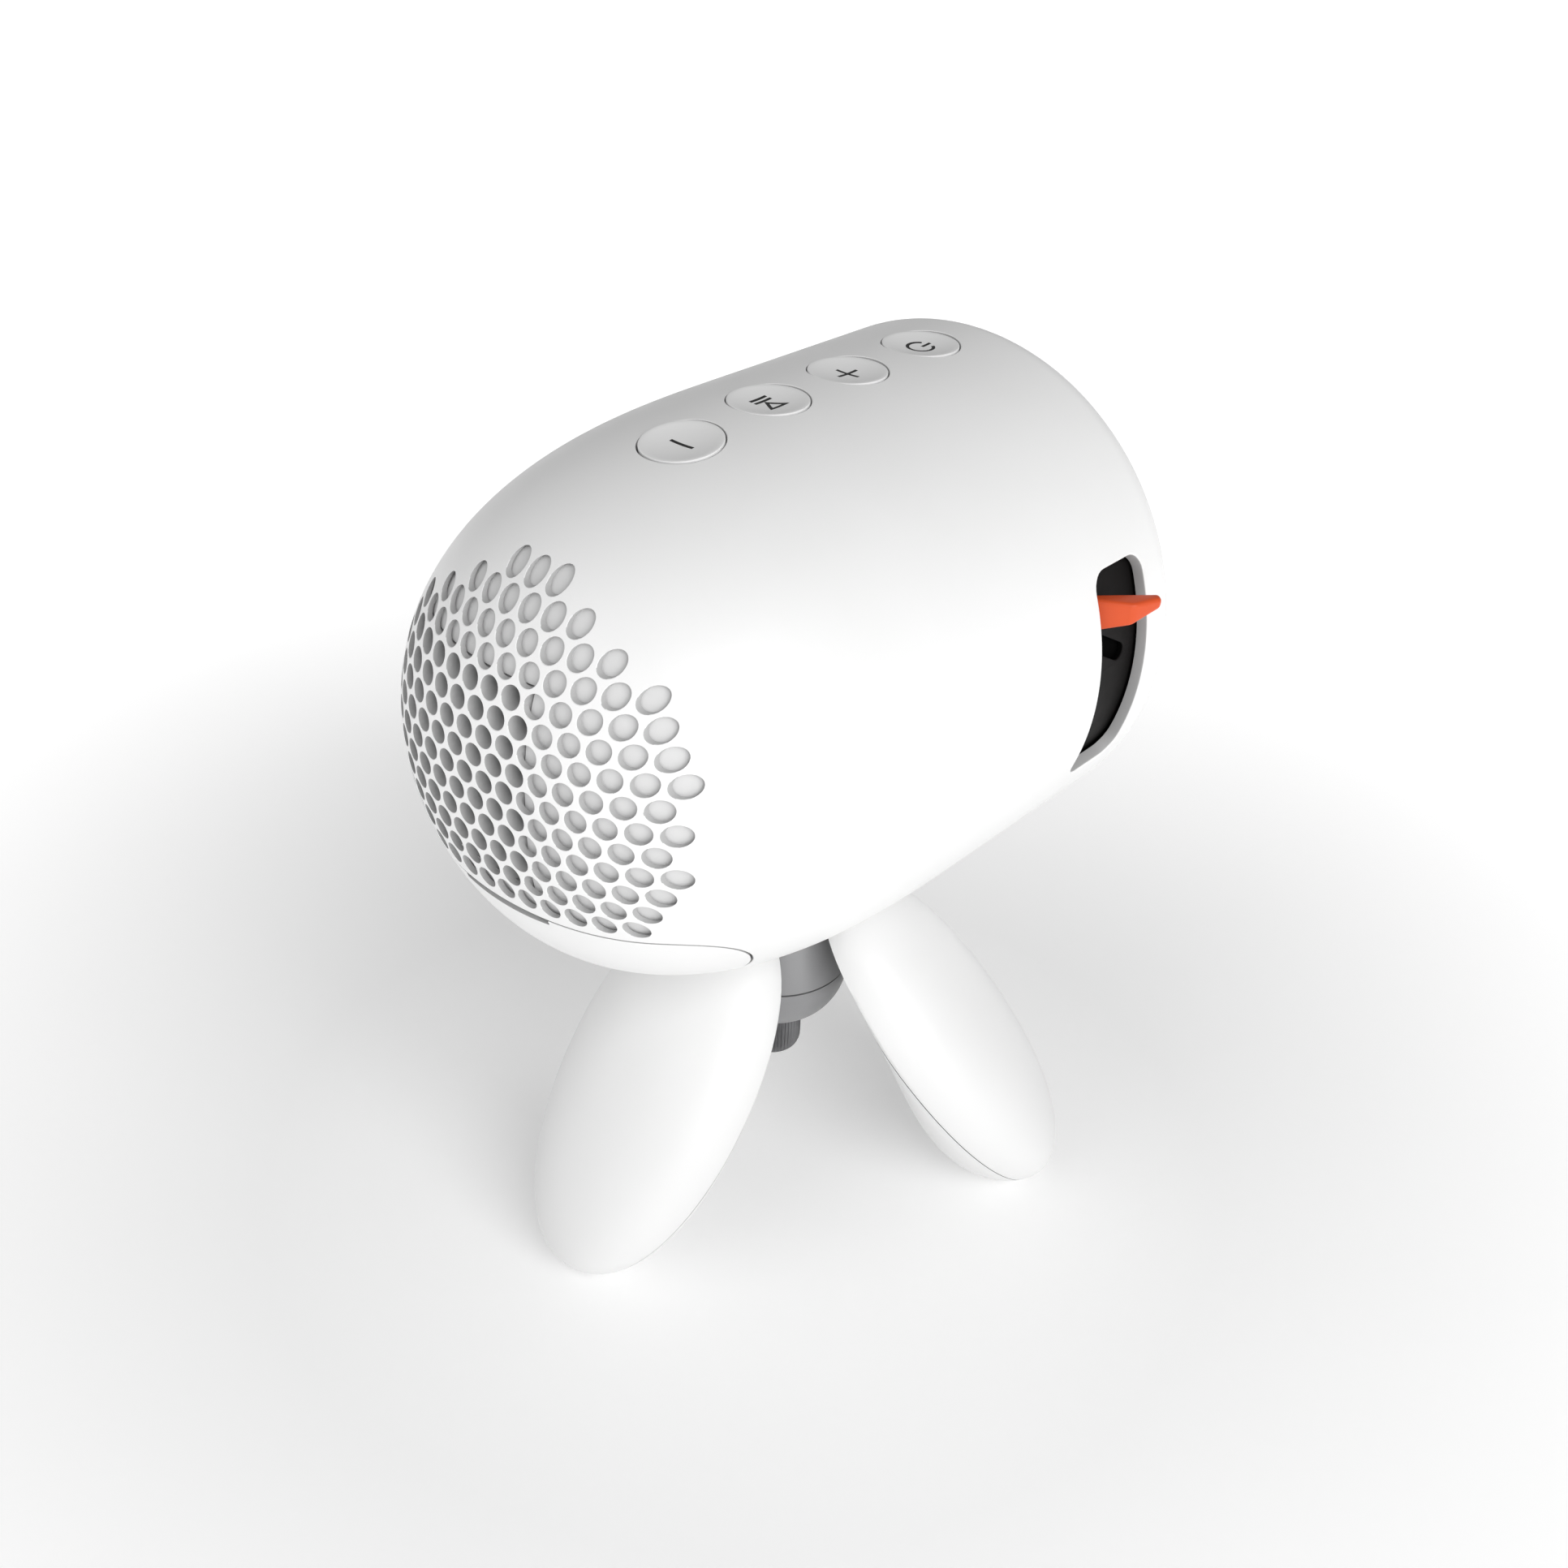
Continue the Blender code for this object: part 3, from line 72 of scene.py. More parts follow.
VENT_R = 0.0384 * BODY_R
VENT_PITCH = 0.0930 * BODY_R
VENT_ROW = 0.0801 * BODY_R
VENT_LOWEST = -0.331 * BODY_R
VENT_ROWS = 14
VENT_FIELD_R, VENT_FIELD_UP = 0.690 * BODY_R, 0.0125 * BODY_R
GRILLE_R = 0.80 * BODY_R
GRILLE_STEPS, INSIDE_STEPS, OUTSIDE_STEPS = 27, 24, 56
GRILLE_THIN = 0.9 * MM
GRILLE_THICK = 3.4 * MM
LINER_DEPTH = 1.2 * MM
LINER_THICKNESS = 0.9 * MM
LINER_LOW = -15.5 * MM
DUCT_LEFT, DUCT_RIGHT = -0.152 * BODY_R, 0.52 * BODY_R
DUCT_LOW, DUCT_HIGH = -0.29 * BODY_R, 0.43 * BODY_R

BUTTON_R = 0.1444 * BODY_R
BUTTON_FIRST = -0.617 * BODY_R
BUTTON_PITCH = 0.4185 * BODY_R
BUTTON_NAMES = ("minus", "play", "plus", "power")
BUTTON_SUNK = 0.2 * MM
BUTTON_DISH = 0.6 * MM
BUTTON_SEAM = 0.1 * MM

SLOT_REAR, SLOT_FRONT = 0.505 * BODY_R, 0.815 * BODY_R
SLOT_HALF_HEIGHT = 0.416 * BODY_R
SLOT_CORNER = 0.07 * BODY_R
DRUM_R = 37.6 * MM
DRUM_WALL = 1.4 * MM
DRUM_REAR, DRUM_FRONT = 17.0 * MM, 37.5 * MM
DRUM_LOW_ANGLE, DRUM_HIGH_ANGLE = -33.0, 61.0
HUB_R, HUB_BORE, HUB_FRONT, HUB_REAR = 14.5 * MM, 10.7 * MM, 31.0 * MM, 24.2 * MM
GUIDE_ROOM = 12.3 * MM
CAM_SLOT_FRONT = (28.7 * MM, 2.0 * MM)
CAM_SLOT_REAR = (22.6 * MM, 5.5 * MM)
CAM_SLOT_HALF_WIDTH = 1.35 * MM
CAM_SLOT_DEPTH = 0.75 * DRUM_WALL
# Depth under the drum's outside below which faces take the painted black shadow.
PAINTED_SHADOW_DEPTH = 0.15 * MM
KEEP_SPARE, KEEP_LONG = 8.0 * MM, 60.0 * MM
LEVER_TOP = 12.4 * MM
LEVER_ROOT_R = DRUM_R + 0.375 * MM
LEVER_ROOT_REAR, LEVER_ROOT_FRONT, LEVER_ROOT_UNDER = 21.3 * MM, 24.0 * MM, 7.8 * MM
LEVER_ELBOW = (41.4 * MM, 24.6 * MM, 9.0 * MM)
LEVER_TIP_REAR = (43.1 * MM, 29.2 * MM, 10.8 * MM)
LEVER_TIP_FRONT = (41.9 * MM, 30.3 * MM, 10.8 * MM)
LEVER_ROUNDING = 0.65 * MM

HATCH_TOP = -0.40 * BODY_R
HATCH_FRONT = -0.88 * BODY_R
HATCH_CORNER = 0.41 * BODY_R
HATCH_PIVOT_DROP = 36.4 * MM
HATCH_BARREL_R, BARREL_ROUNDING = 1.5 * MM, 0.3 * MM
HATCH_PIN_HALF, HATCH_PIN_HOLE_R = 9.0 * MM, 0.95 * MM
SCOOP_WIDTH = 0.40 * BODY_R
SCOOP_HEIGHT = 1.3 * MM
SCOOP_DEPTH = 2.2 * MM

TRIPOD_STATION = -0.045 * BODY_R
BOSS_R, BOSS_FOOT, BOSS_TOP, BUSH_R = 8.0 * MM, 38.9 * MM, 29.5 * MM, 5.3 * MM
PETAL_TILT = 0.674
PETAL_REACH = 0.682 * BODY_R
PETAL_DROP = 1.686 * BODY_R
PETAL_LENGTH = 0.786 * BODY_R
PETAL_WIDTH = 0.418 * BODY_R
PETAL_OUTLINE_POWER = 2.13
PETAL_TAPER = -0.046
PETAL_SEAM_WIDE, PETAL_SEAM_DEEP, PETAL_SEAM_SHIFT = 0.2 * MM, 0.5 * MM, -1.0 * MM
OUTER_BULGE, OUTER_POWER, OUTER_LEAN = 0.26 * BODY_R, 2.43, -0.055
INNER_BULGE, INNER_POWER, INNER_LEAN = 0.192 * BODY_R, 1.81, 1.395
PETAL_AZIMUTHS = {"rear": 90.0, "left": 210.0, "right": 330.0}
LEG_PIVOT_REACH = 12.0 * MM
LEG_PIVOT_DROP = 43.7 * MM
LEG_PIN_R = 1.0 * MM
LEG_PIN_HALF = 6.5 * MM
TONGUE_WIDTH = 5.0 * MM
TONGUE_ROOM_LONG, TONGUE_ROOM_TALL, TONGUE_ROOM_REACH = 12.0 * MM, 14.0 * MM, 9.6 * MM
HUB_ROOM_R = 9.2 * MM
SEAM_SHARE = 0.52
PETAL_SEGMENTS, PETAL_RINGS = 96, 64
BEYOND = 120.0 * MM


# ------------ meshes

def added(name, data):
    """New object in the scene that shows a mesh, a lamp or a camera."""
    thing = bpy.data.objects.new(name, data)
    bpy.context.scene.collection.objects.link(thing)
    return thing


def from_bmesh(name, shape, stuff=None):
    bmesh.ops.recalc_face_normals(shape, faces=shape.faces)
    mesh = bpy.data.meshes.new(name)
    shape.to_mesh(mesh)
    shape.free()
    if stuff:
        mesh.materials.append(stuff)
    return added(name, mesh)


def new_ring(shape, points):
    """New vertices of a shape at the points."""
    return [shape.verts.new(point) for point in points]


def join_rings(shape, rings, capped=True):
    """Walls between each ring of vertices and the next, and faces over both ends."""
    for first, second in zip(rings, rings[1:]):
        for i in range(len(first)):
            j = (i + 1) % len(first)
            shape.faces.new((first[i], first[j], second[j], second[i]))
    if capped:
        shape.faces.new(rings[0])
        shape.faces.new(rings[-1])


def body_point(station, across=0.0, up=0.0):
    """World point at a station along the body, across in X and up from the axis."""
    return Vector((across, SHOULDER_Y - station, AXIS_HEIGHT + up))


def turned(name, profile, centre, stuff=None, along_body=False, sides=96):
    """A closed profile of (radius, height) points turned around an axis through centre."""
    shape = bmesh.new()
    rings = []
    for radius, height in profile:
        angles = [math.tau * i / sides for i in range(sides if radius > 0.0 else 1)]
        circle = [(radius * math.cos(t), radius * math.sin(t)) for t in angles]
        if along_body:
            rings.append(new_ring(shape, [centre + Vector((x, -height, z)) for x, z in circle]))
        else:
            rings.append(new_ring(shape, [centre + Vector((x, y, height)) for x, y in circle]))
    pairs = list(zip(rings, rings[1:]))
    if profile[0][0] > 0.0 or profile[-1][0] > 0.0:
        pairs.append((rings[-1], rings[0]))
    for first, second in pairs:
        for i in range(sides):
            j = (i + 1) % sides
            corners = [first[i % len(first)], first[j % len(first)]]
            corners += [second[j % len(second)], second[i % len(second)]]
            corners = list(dict.fromkeys(corners))
            if len(corners) > 2:
                shape.faces.new(corners)
    return from_bmesh(name, shape, stuff)


def round_edges(shape, edges, rounding, segments=3):
    bmesh.ops.bevel(shape, geom=edges, offset=rounding, segments=segments, profile=0.5,
                    affect="EDGES")


def turned_round_body(name, profile, stuff=None):
    """A closed profile of (radius, station) points turned around the body's axis."""
    return turned(name, profile, AXIS, stuff, along_body=True, sides=SHELL_SIDES)


def facing_along(across, aside, ahead):
    """Rotation whose X, Y and Z are the three given directions."""
    return Matrix((across, aside, ahead)).transposed().to_4x4()


def rod(name, radius, start, end, sides=48, rounding=0.0):
    """A round bar between two points, its end edges rounded when asked."""
    along = end - start
    turn = along.to_track_quat("Z", "Y").to_matrix().to_4x4()
    shape = bmesh.new()
    bmesh.ops.create_cone(shape, cap_ends=True, segments=sides, radius1=radius, radius2=radius,
                          depth=along.length, matrix=Matrix.Translation((start + end) / 2) @ turn)
    if rounding:
        rims = [e for e in shape.edges if any(len(f.verts) > 4 for f in e.link_faces)]
        round_edges(shape, rims, rounding)
    return from_bmesh(name, shape)


def block(name, size, centre, turn=None):
    """A box, turned when asked."""
    shape = bmesh.new()
    place = Matrix.Translation(centre) @ (turn or Matrix.Identity(4)) @ Matrix.Diagonal((*size, 1.0))
    bmesh.ops.create_cube(shape, size=1.0, matrix=place)
    return from_bmesh(name, shape)


def prism(name, outline, thickness, place, rounding=0.0):
    """A flat outline given thickness both ways from its plane, then moved by the matrix place."""
    shape = bmesh.new()
    layers = [new_ring(shape, [(x, y, side * thickness) for x, y in outline]) for side in (-0.5, 0.5)]
    join_rings(shape, layers)
    if rounding:
        rims = [e for e in shape.edges if abs(e.verts[0].co.z - e.verts[1].co.z) < 0.1 * thickness]
        round_edges(shape, rims, rounding)
    bmesh.ops.transform(shape, matrix=place, verts=shape.verts)
    return from_bmesh(name, shape)


def cut_all(thing, operation, cutters):
    """Applies one Boolean after another and throws the cutters away."""
    for cutter in cutters:
        change = thing.modifiers.new("cut", "BOOLEAN")
        change.operation = operation
        change.solver = "MANIFOLD"
        change.object = cutter
    graph = bpy.context.evaluated_depsgraph_get()
    mesh = bpy.data.meshes.new_from_object(thing.evaluated_get(graph))
    thing.modifiers.clear()
    old = thing.data
    thing.data = mesh
    looks = [stuff for stuff in old.materials if stuff]
    mesh.materials.clear()
    for stuff in looks:
        mesh.materials.append(stuff)
    for face in mesh.polygons:
        face.material_index = 0
    bpy.data.meshes.remove(old)
    for cutter in cutters:
        bpy.data.objects.remove(cutter, do_unlink=True)
    return thing


SAME_SURFACE, SAME_FACING = 0.004 * MM, 0.94
SMALLEST_SQUARE = 1e-24


def smooth(thing, degrees=50.0):
    thing.data.shade_smooth()
    thing.data.set_sharp_from_angle(angle=math.radians(degrees))
    return thing


def smooth_like(thing, blank):
    """Smooth shading, with the uncut blank's own normals wherever its surface is left.

    The blank is thrown away.
    """
    smooth(thing)
    mesh = thing.data
    form = bmesh.new()
    form.from_mesh(blank.data)
    bmesh.ops.triangulate(form, faces=form.faces)
    form.normal_update()
    tree = BVHTree.FromBMesh(form)
    form.faces.ensure_lookup_table()
    normals = [corner.vector.copy() for corner in mesh.corner_normals]
    cache = {}
    for polygon in mesh.polygons:
        for loop in polygon.loop_indices:
            vertex = mesh.loops[loop].vertex_index
            if vertex not in cache:
                point = mesh.vertices[vertex].co
                near, _, index, distance = tree.find_nearest(point)
                cache[vertex] = None
                if distance < SAME_SURFACE:
                    corners = form.faces[index].verts
                    shares = area_shares(near, [c.co for c in corners])
                    normal = Vector((0.0, 0.0, 0.0))
                    for share, corner in zip(shares, corners):
                        normal += share * corner.normal
                    cache[vertex] = normal.normalized()
            found = cache[vertex]
            if found is not None and found.dot(polygon.normal) > SAME_FACING:
                normals[loop] = found
    form.free()
    mesh.normals_split_custom_set(normals)
    bpy.data.objects.remove(blank, do_unlink=True)


def paint_shade_on_faces(thing, painted_shade, wanted):
    """Gives the faces that a test picks a second material, which paints shade on them."""
    thing.data.materials.append(painted_shade)
    for face in thing.data.polygons:
        if wanted(face):
            face.material_index = 1


def area_shares(point, corners):
    """Weights of three corners for a point in their triangle."""
    a, b, c = corners
    whole = (b - a).cross(c - a)
    size = whole.length_squared
    if size < SMALLEST_SQUARE:
        return (1 / 3, 1 / 3, 1 / 3)
    second = (point - a).cross(c - a).dot(whole) / size
    third = (b - a).cross(point - a).dot(whole) / size
    return (1.0 - second - third, second, third)


def arc(centre, radius, first, last, count):
    """Points of a circular arc, angles in degrees, both ends included."""
    steps = [math.radians(first + (last - first) * i / (count - 1)) for i in range(count)]
    return [(centre[0] + radius * math.cos(t), centre[1] + radius * math.sin(t)) for t in steps]


def divided(points, step, closed):
    """The same line of (x, y) points with its long stretches divided."""
    path = []
    following = points[1:] + points[:1] if closed else points[1:]
    for (x, y), (next_x, next_y) in zip(points, following):
        steps = max(1, int(math.hypot(next_x - x, next_y - y) / step))
        path += [(x + (next_x - x) * k / steps, y + (next_y - y) * k / steps) for k in range(steps)]
    return path if closed else path + points[-1:]


def signed_power(value, power):
    return math.copysign(abs(value) ** power, value)


def shown(thing, body, *stands_for, finish=None):
    """Rides on a body and stands for CAD nodes, which it hides."""
    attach(thing, body)
    if stands_for:
        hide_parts(*stands_for)


# ------------ the body's form

def dome_radius(station, inset=0.0):
    """Radius of the body at a station, or of the wall's inside when inset is the wall."""
    if station >= 0.0:
        return BODY_R - inset
    share = min(1.0, -station / (DOME_DEPTH - inset))
    return (BODY_R - inset) * (1.0 - share ** DOME_POWER) ** (1.0 / DOME_POWER)


def dome_station(radius):
    """Station of the dome's outside where it has the given radius."""
    return -DOME_DEPTH * (1.0 - (radius / BODY_R) ** DOME_POWER) ** (1.0 / DOME_POWER)


def surface_normal(point):
    """Outward normal of the body's outside near a world point on the dome or the cylinder."""
    offset = point - AXIS
    across = Vector((offset.x, 0.0, offset.z))
    station = -offset.y
    if station >= 0.0:
        return across.normalized()
    outwards = DOME_POWER * (across.length / BODY_R) ** (DOME_POWER - 1) / BODY_R
    rearwards = DOME_POWER * (-station / DOME_DEPTH) ** (DOME_POWER - 1) / DOME_DEPTH
    return (across.normalized() * outwards + Vector((0.0, rearwards, 0.0))).normalized()


def dome_points(inset, count):
    """(radius, station) points from the shoulder to the apex of the dome."""
    points = []
    for i in range(count):
        angle = math.pi / 2 * i / (count - 1)
        radius = (BODY_R - inset) * math.cos(angle) ** (2 / DOME_POWER)
        station = -(DOME_DEPTH - inset) * math.sin(angle) ** (2 / DOME_POWER)
        points.append((radius if i < count - 1 else 0.0, station))
    return points


def front_round(first, last, count):
    """Points of the rounded front edge, 0 degrees at the side and 90 at the front face."""
    centre = (BODY_R - FRONT_ROUND, BODY_FRONT - FRONT_ROUND)
    return arc(centre, FRONT_ROUND, first, last, count)


def seam_angle(radius):
    return math.degrees(math.acos((radius - BODY_R + FRONT_ROUND) / FRONT_ROUND))


SHELL_OPENING_R = CAP_R + GAP
SHELL_EDGE_ANGLE = seam_angle(SHELL_OPENING_R + 0.35 * MM)


def grille_points(depth, reach):
    """(radius, station) points of the dome's outside moved forward by a depth, apex first."""
    radii = [reach * i / GRILLE_STEPS for i in range(GRILLE_STEPS + 1)]
    return [(radius, depth + dome_station(radius)) for radius in radii]


def grille_layer(name, near, far, reach, stuff=None):
    """A bowl behind the grille, between two depths under the dome's outside."""
    profile = grille_points(near, reach) + list(reversed(grille_points(far, reach)))
    return turned_round_body(name, profile, stuff)


def duct_block(spare):
    """The part of the rear end whose vents are open, grown or shrunk by a spare."""
    wide, tall = DUCT_RIGHT - DUCT_LEFT, DUCT_HIGH - DUCT_LOW
    size = Vector((wide + 2 * spare, 80 * MM, tall + 2 * spare))
    middle = body_point(-50 * MM, (DUCT_LEFT + DUCT_RIGHT) / 2, (DUCT_LOW + DUCT_HIGH) / 2)
    return block("duct_block", size, middle)


def shell_blank(name, stuff=None, grille=False):
    """The body wall, open at the lens end, thinned behind the grille when that is asked for."""
    inside = list(reversed(dome_points(WALL, INSIDE_STEPS)))
    if grille:
        inside = grille_points(GRILLE_THIN, GRILLE_R) + [p for p in inside if p[0] > GRILLE_R + MM]
    lip = [(BODY_R - WALL, LIP_REAR), (SHELL_OPENING_R, LIP_REAR + 0.6 * MM)]
    outside = list(reversed(front_round(0.0, SHELL_EDGE_ANGLE, 10)))
    lip.append((SHELL_OPENING_R, outside[0][1] - 0.12 * MM))
    profile = inside + lip + outside + dome_points(0.0, OUTSIDE_STEPS)
    return turned_round_body(name, profile, stuff)


# ------------ cutters with rounded rims

def vent_centres():
    """Hexagonal grid of vents inside a circle just over the axis, with one short row on top."""
    centres = []
    for row in range(VENT_ROWS):
        up = VENT_LOWEST + row * VENT_ROW
        shift = 0.0 if row % 2 else 0.5
        for column in range(-9, 9):
            across = (column + shift) * VENT_PITCH
            top_row = row == VENT_ROWS - 1 and abs(across) < 1.2 * VENT_PITCH
            if math.hypot(across, up - VENT_FIELD_UP) <= VENT_FIELD_R or top_row:
                centres.append((across, up))
    return centres


VENT_SIDES = 24
VENT_RIM = 0.10 * MM
VENT_CUT = 8 * MM


def vent_circle(across, up, radius):
    half_side = 180 / VENT_SIDES
    return arc((across, up), radius, half_side, 360 - half_side, VENT_SIDES)


def vent_cutter():
    """Straight holes along the body whose mouths follow the dome and flare by a small rim."""
    halfway = 0.29 * VENT_RIM
    rows = ((-MM, VENT_R + VENT_RIM + 0.35 * MM), (0.0, VENT_R + VENT_RIM))
    rows += ((halfway, VENT_R + halfway), (VENT_RIM, VENT_R))
    shape = bmesh.new()
    for across, up in vent_centres():
        rings = []
        for depth, radius in rows:
            mouth = vent_circle(across, up, radius)
            points = [body_point(dome_station(math.hypot(x, z)) + depth, x, z) for x, z in mouth]
            rings.append(new_ring(shape, points))
        end = dome_station(math.hypot(across, up)) + VENT_CUT
        points = [body_point(end, x, z) for x, z in vent_circle(across, up, VENT_R)]
        rings.append(new_ring(shape, points))
        join_rings(shape, rings)
    return from_bmesh("vent_cutter", shape)


def rimmed_cutter(name, loop, rows, inner, outer):
    """Closed cutter over a loop of surface points.

    rows are (depth below the surface, distance outwards from the loop), deepest first.  inner and
    outer are the points that its two ends run together in.
    """
    count = len(loop)
    middle = sum(loop, Vector((0.0, 0.0, 0.0))) / count
    shape = bmesh.new()
    rings = [[] for _ in rows]
    for i, point in enumerate(loop):
        normal = surface_normal(point)
        along = (loop[(i + 1) % count] - loop[i - 1]).normalized()
        outwards = along.cross(normal).normalized()
        if outwards.dot(point - middle) < 0.0:
            outwards.negate()
        for ring, (depth, offset) in zip(rings, rows):
            ring.append(shape.verts.new(point - normal * depth + outwards * offset))
    join_rings(shape, rings, capped=False)
    for ring, tip in ((rings[0], inner), (rings[-1], outer)):
        end = shape.verts.new(tip)
        for i in range(count):
            shape.faces.new((ring[i], ring[(i + 1) % count], end))
    return from_bmesh(name, shape)


def flare(rim, depth, gap=0.0, side=1.0):
    """Rows of a cutter that rounds the edge it leaves by a rim.

    With side -1 they are the rows of a shape to keep, set in by the gap, its own edge rounded.
    """
    rows = [(depth, -gap)]
    for degrees in (0.0, 30.0, 60.0, 90.0):
        angle = math.radians(degrees)
        rows.append((rim * (1.0 - math.sin(angle)), side * rim * (1.0 - math.cos(angle)) - gap))
    rows.append((-1.5 * rim, side * 2.5 * rim - gap))
    return rows


def rounded_rectangle(half_wide, half_tall, corner):
    """Outline points round a rectangle, its straight sides divided as well."""
    outline = []
    wide, tall = half_wide - corner, half_tall - corner
    corners = ((wide, tall, 0), (-wide, tall, 90), (-wide, -tall, 180), (wide, -tall, 270))
    for x, y, start in corners:
        outline += arc((x, y), corner, start, start + 90, CORNER_STEPS)
    return divided(outline, 0.6 * MM, closed=True)


SLOT_RIM = 0.35 * MM
EDGE_CUT, WELL_CUT = 5.0 * MM, 6.0 * MM
CUT_INSIDE, CUT_OUTSIDE = 20.0 * MM, 90.0 * MM
WELL_STEPS, CORNER_STEPS = 64, 8


def slot_cutter():
    """The focus slot, sunk square to the curved side."""
    loop = []
    half_wide = (SLOT_FRONT - SLOT_REAR - SLOT_RIM) / 2
    middle = (SLOT_FRONT + SLOT_REAR + SLOT_RIM) / 2
    for along, up in rounded_rectangle(half_wide, SLOT_HALF_HEIGHT, SLOT_CORNER):
        station = middle + along
        loop.append(body_point(station, -math.sqrt(BODY_R ** 2 - up ** 2), up))
    inner, outer = body_point(middle, -CUT_INSIDE), body_point(middle, -CUT_OUTSIDE)
    return rimmed_cutter("slot_cutter", loop, flare(SLOT_RIM, WELL_CUT), inner, outer)


def button_stations():
    return {name: BUTTON_FIRST + i * BUTTON_PITCH for i, name in enumerate(BUTTON_NAMES)}


def button_well(name, station):
    """Hole of a button in the top of the body."""
    loop = []
    radius = BUTTON_R + BUTTON_SEAM
    for i in range(WELL_STEPS):
        angle = math.tau * i / WELL_STEPS
        x, s = radius * math.cos(angle), station + radius * math.sin(angle)
        loop.append(body_point(s, x, math.sqrt(dome_radius(s) ** 2 - x ** 2)))
    inner, outer = body_point(station, 0.0, CUT_INSIDE), body_point(station, 0.0, CUT_OUTSIDE)
    return rimmed_cutter(f"{name}_well", loop, flare(RIM, WELL_CUT), inner, outer)


FRONT_STEPS, REAR_STEPS, HATCH_SPACING = 20, 40, 0.8 * MM


def hatch_loop():
    """The hatch's outline on the body's surface, once round."""
    side = []
    front_up = HATCH_TOP - HATCH_CORNER
    bottom = dome_radius(HATCH_FRONT)
    widest = math.sqrt(bottom ** 2 - front_up ** 2)
    for i in range(FRONT_STEPS):
        x = widest * i / FRONT_STEPS
        side.append((HATCH_FRONT, x, -math.sqrt(bottom ** 2 - x ** 2)))
    for s, up in arc((HATCH_FRONT - HATCH_CORNER, front_up), HATCH_CORNER, 0, 90, 24):
        side.append((s, math.sqrt(dome_radius(s) ** 2 - up ** 2), up))
    corner_s, rear_s = side[-1][0], dome_station(-HATCH_TOP)
    for i in range(1, REAR_STEPS + 1):
        angle = math.pi / 2 * i / REAR_STEPS
        s = corner_s + (rear_s - corner_s) * math.sin(angle)
        spread = max(0.0, dome_radius(s) ** 2 - HATCH_TOP ** 2)
        side.append((s, math.sqrt(spread) if i < REAR_STEPS else 0.0, HATCH_TOP))
    right = [body_point(s, x, up) for s, x, up in side]
    left = [body_point(s, -x, up) for s, x, up in reversed(side[1:-1])]
    return evenly(right + left, HATCH_SPACING)


def evenly(loop, spacing):
    """The same closed loop with its points spaced evenly."""
    lengths = [(loop[(i + 1) % len(loop)] - loop[i]).length for i in range(len(loop))]
    total = sum(lengths)
    count = int(total / spacing)
    result, index, passed = [], 0, 0.0
    for i in range(count):
        wanted = total * i / count
        while passed + lengths[index] < wanted:
            passed += lengths[index]
            index += 1
        share = (wanted - passed) / lengths[index]
        result.append(loop[index].lerp(loop[(index + 1) % len(loop)], share))
    return result


HATCH_MIDDLE = body_point(-48 * MM, 0.0, -24 * MM)
HATCH_INNER = body_point(-30 * MM, 0.0, -12 * MM)
HATCH_OUTER = HATCH_MIDDLE + surface_normal(HATCH_MIDDLE) * 300 * MM


def hatch_cutter(rows):
    """Cutter over the hatch's outline, deep enough for the whole wall."""
    return rimmed_cutter("hatch_cutter", hatch_loop(), rows, HATCH_INNER, HATCH_OUTER)


HATCH_PIVOT = body_point(HATCH_FRONT, 0.0, -HATCH_PIVOT_DROP)
KNUCKLE_HALF, OUTER_KNUCKLE = 2.6 * MM, (3.0 * MM, 7.0 * MM)
HATCH_KNUCKLES = {
    "hatch": ((-KNUCKLE_HALF, KNUCKLE_HALF),),
    "shell": ((-OUTER_KNUCKLE[1], -OUTER_KNUCKLE[0]), OUTER_KNUCKLE),
}


def hatch_barrels(owner, radius, spare=0.0, rounding=0.0):
    """Hinge barrels on the hatch pivot line, of the hatch or of the shell."""
    bars = []
    for low, high in HATCH_KNUCKLES[owner]:
        start = HATCH_PIVOT + Vector((low - spare, 0.0, 0.0))
        end = HATCH_PIVOT + Vector((high + spare, 0.0, 0.0))
        bars.append(rod(f"{owner}_barrel", radius, start, end, 32, rounding))
    return bars


def add_hatch_hinge(thing, own, other, cutters):
    """Makes a piece's cuts with room for the other's hinge barrels, then adds its own barrels."""
    cut_all(thing, "DIFFERENCE", cutters + hatch_barrels(other, HATCH_BARREL_R + GAP, GAP))
    cut_all(thing, "UNION", hatch_barrels(own, HATCH_BARREL_R, 0.0, BARREL_ROUNDING))
    across = Vector((HATCH_PIN_HALF, 0.0, 0.0))
    hole = rod("pin_hole", HATCH_PIN_HOLE_R, HATCH_PIVOT - across, HATCH_PIVOT + across, 24)
    cut_all(thing, "DIFFERENCE", [hole])


def tripod_axis_point(drop):
    """World point on the neck's upright axis, below the body's axis by a drop."""
    return body_point(TRIPOD_STATION, 0.0, -drop)


# ------------ casing pieces

# Slants under which the walls of openings and vents take the painted shade.
WALL_SLANT, VENT_SLANT = 0.45, 0.3


def is_painted_shade_wall(face):
    """Whether a face lines a vent or stands across the wall at the edge of another opening; such faces
    get painted shade.
    """
    middle = face.center
    up, station = middle.z - AXIS.z, AXIS.y - middle.y
    if station > SLOT_FRONT + MM:
        return False
    if abs(face.normal.dot(surface_normal(middle))) < WALL_SLANT:
        return True
    in_grille = station < 0.0 and up > HATCH_TOP and math.hypot(middle.x, up) < GRILLE_R
    return in_grille and abs(face.normal.y) < VENT_SLANT


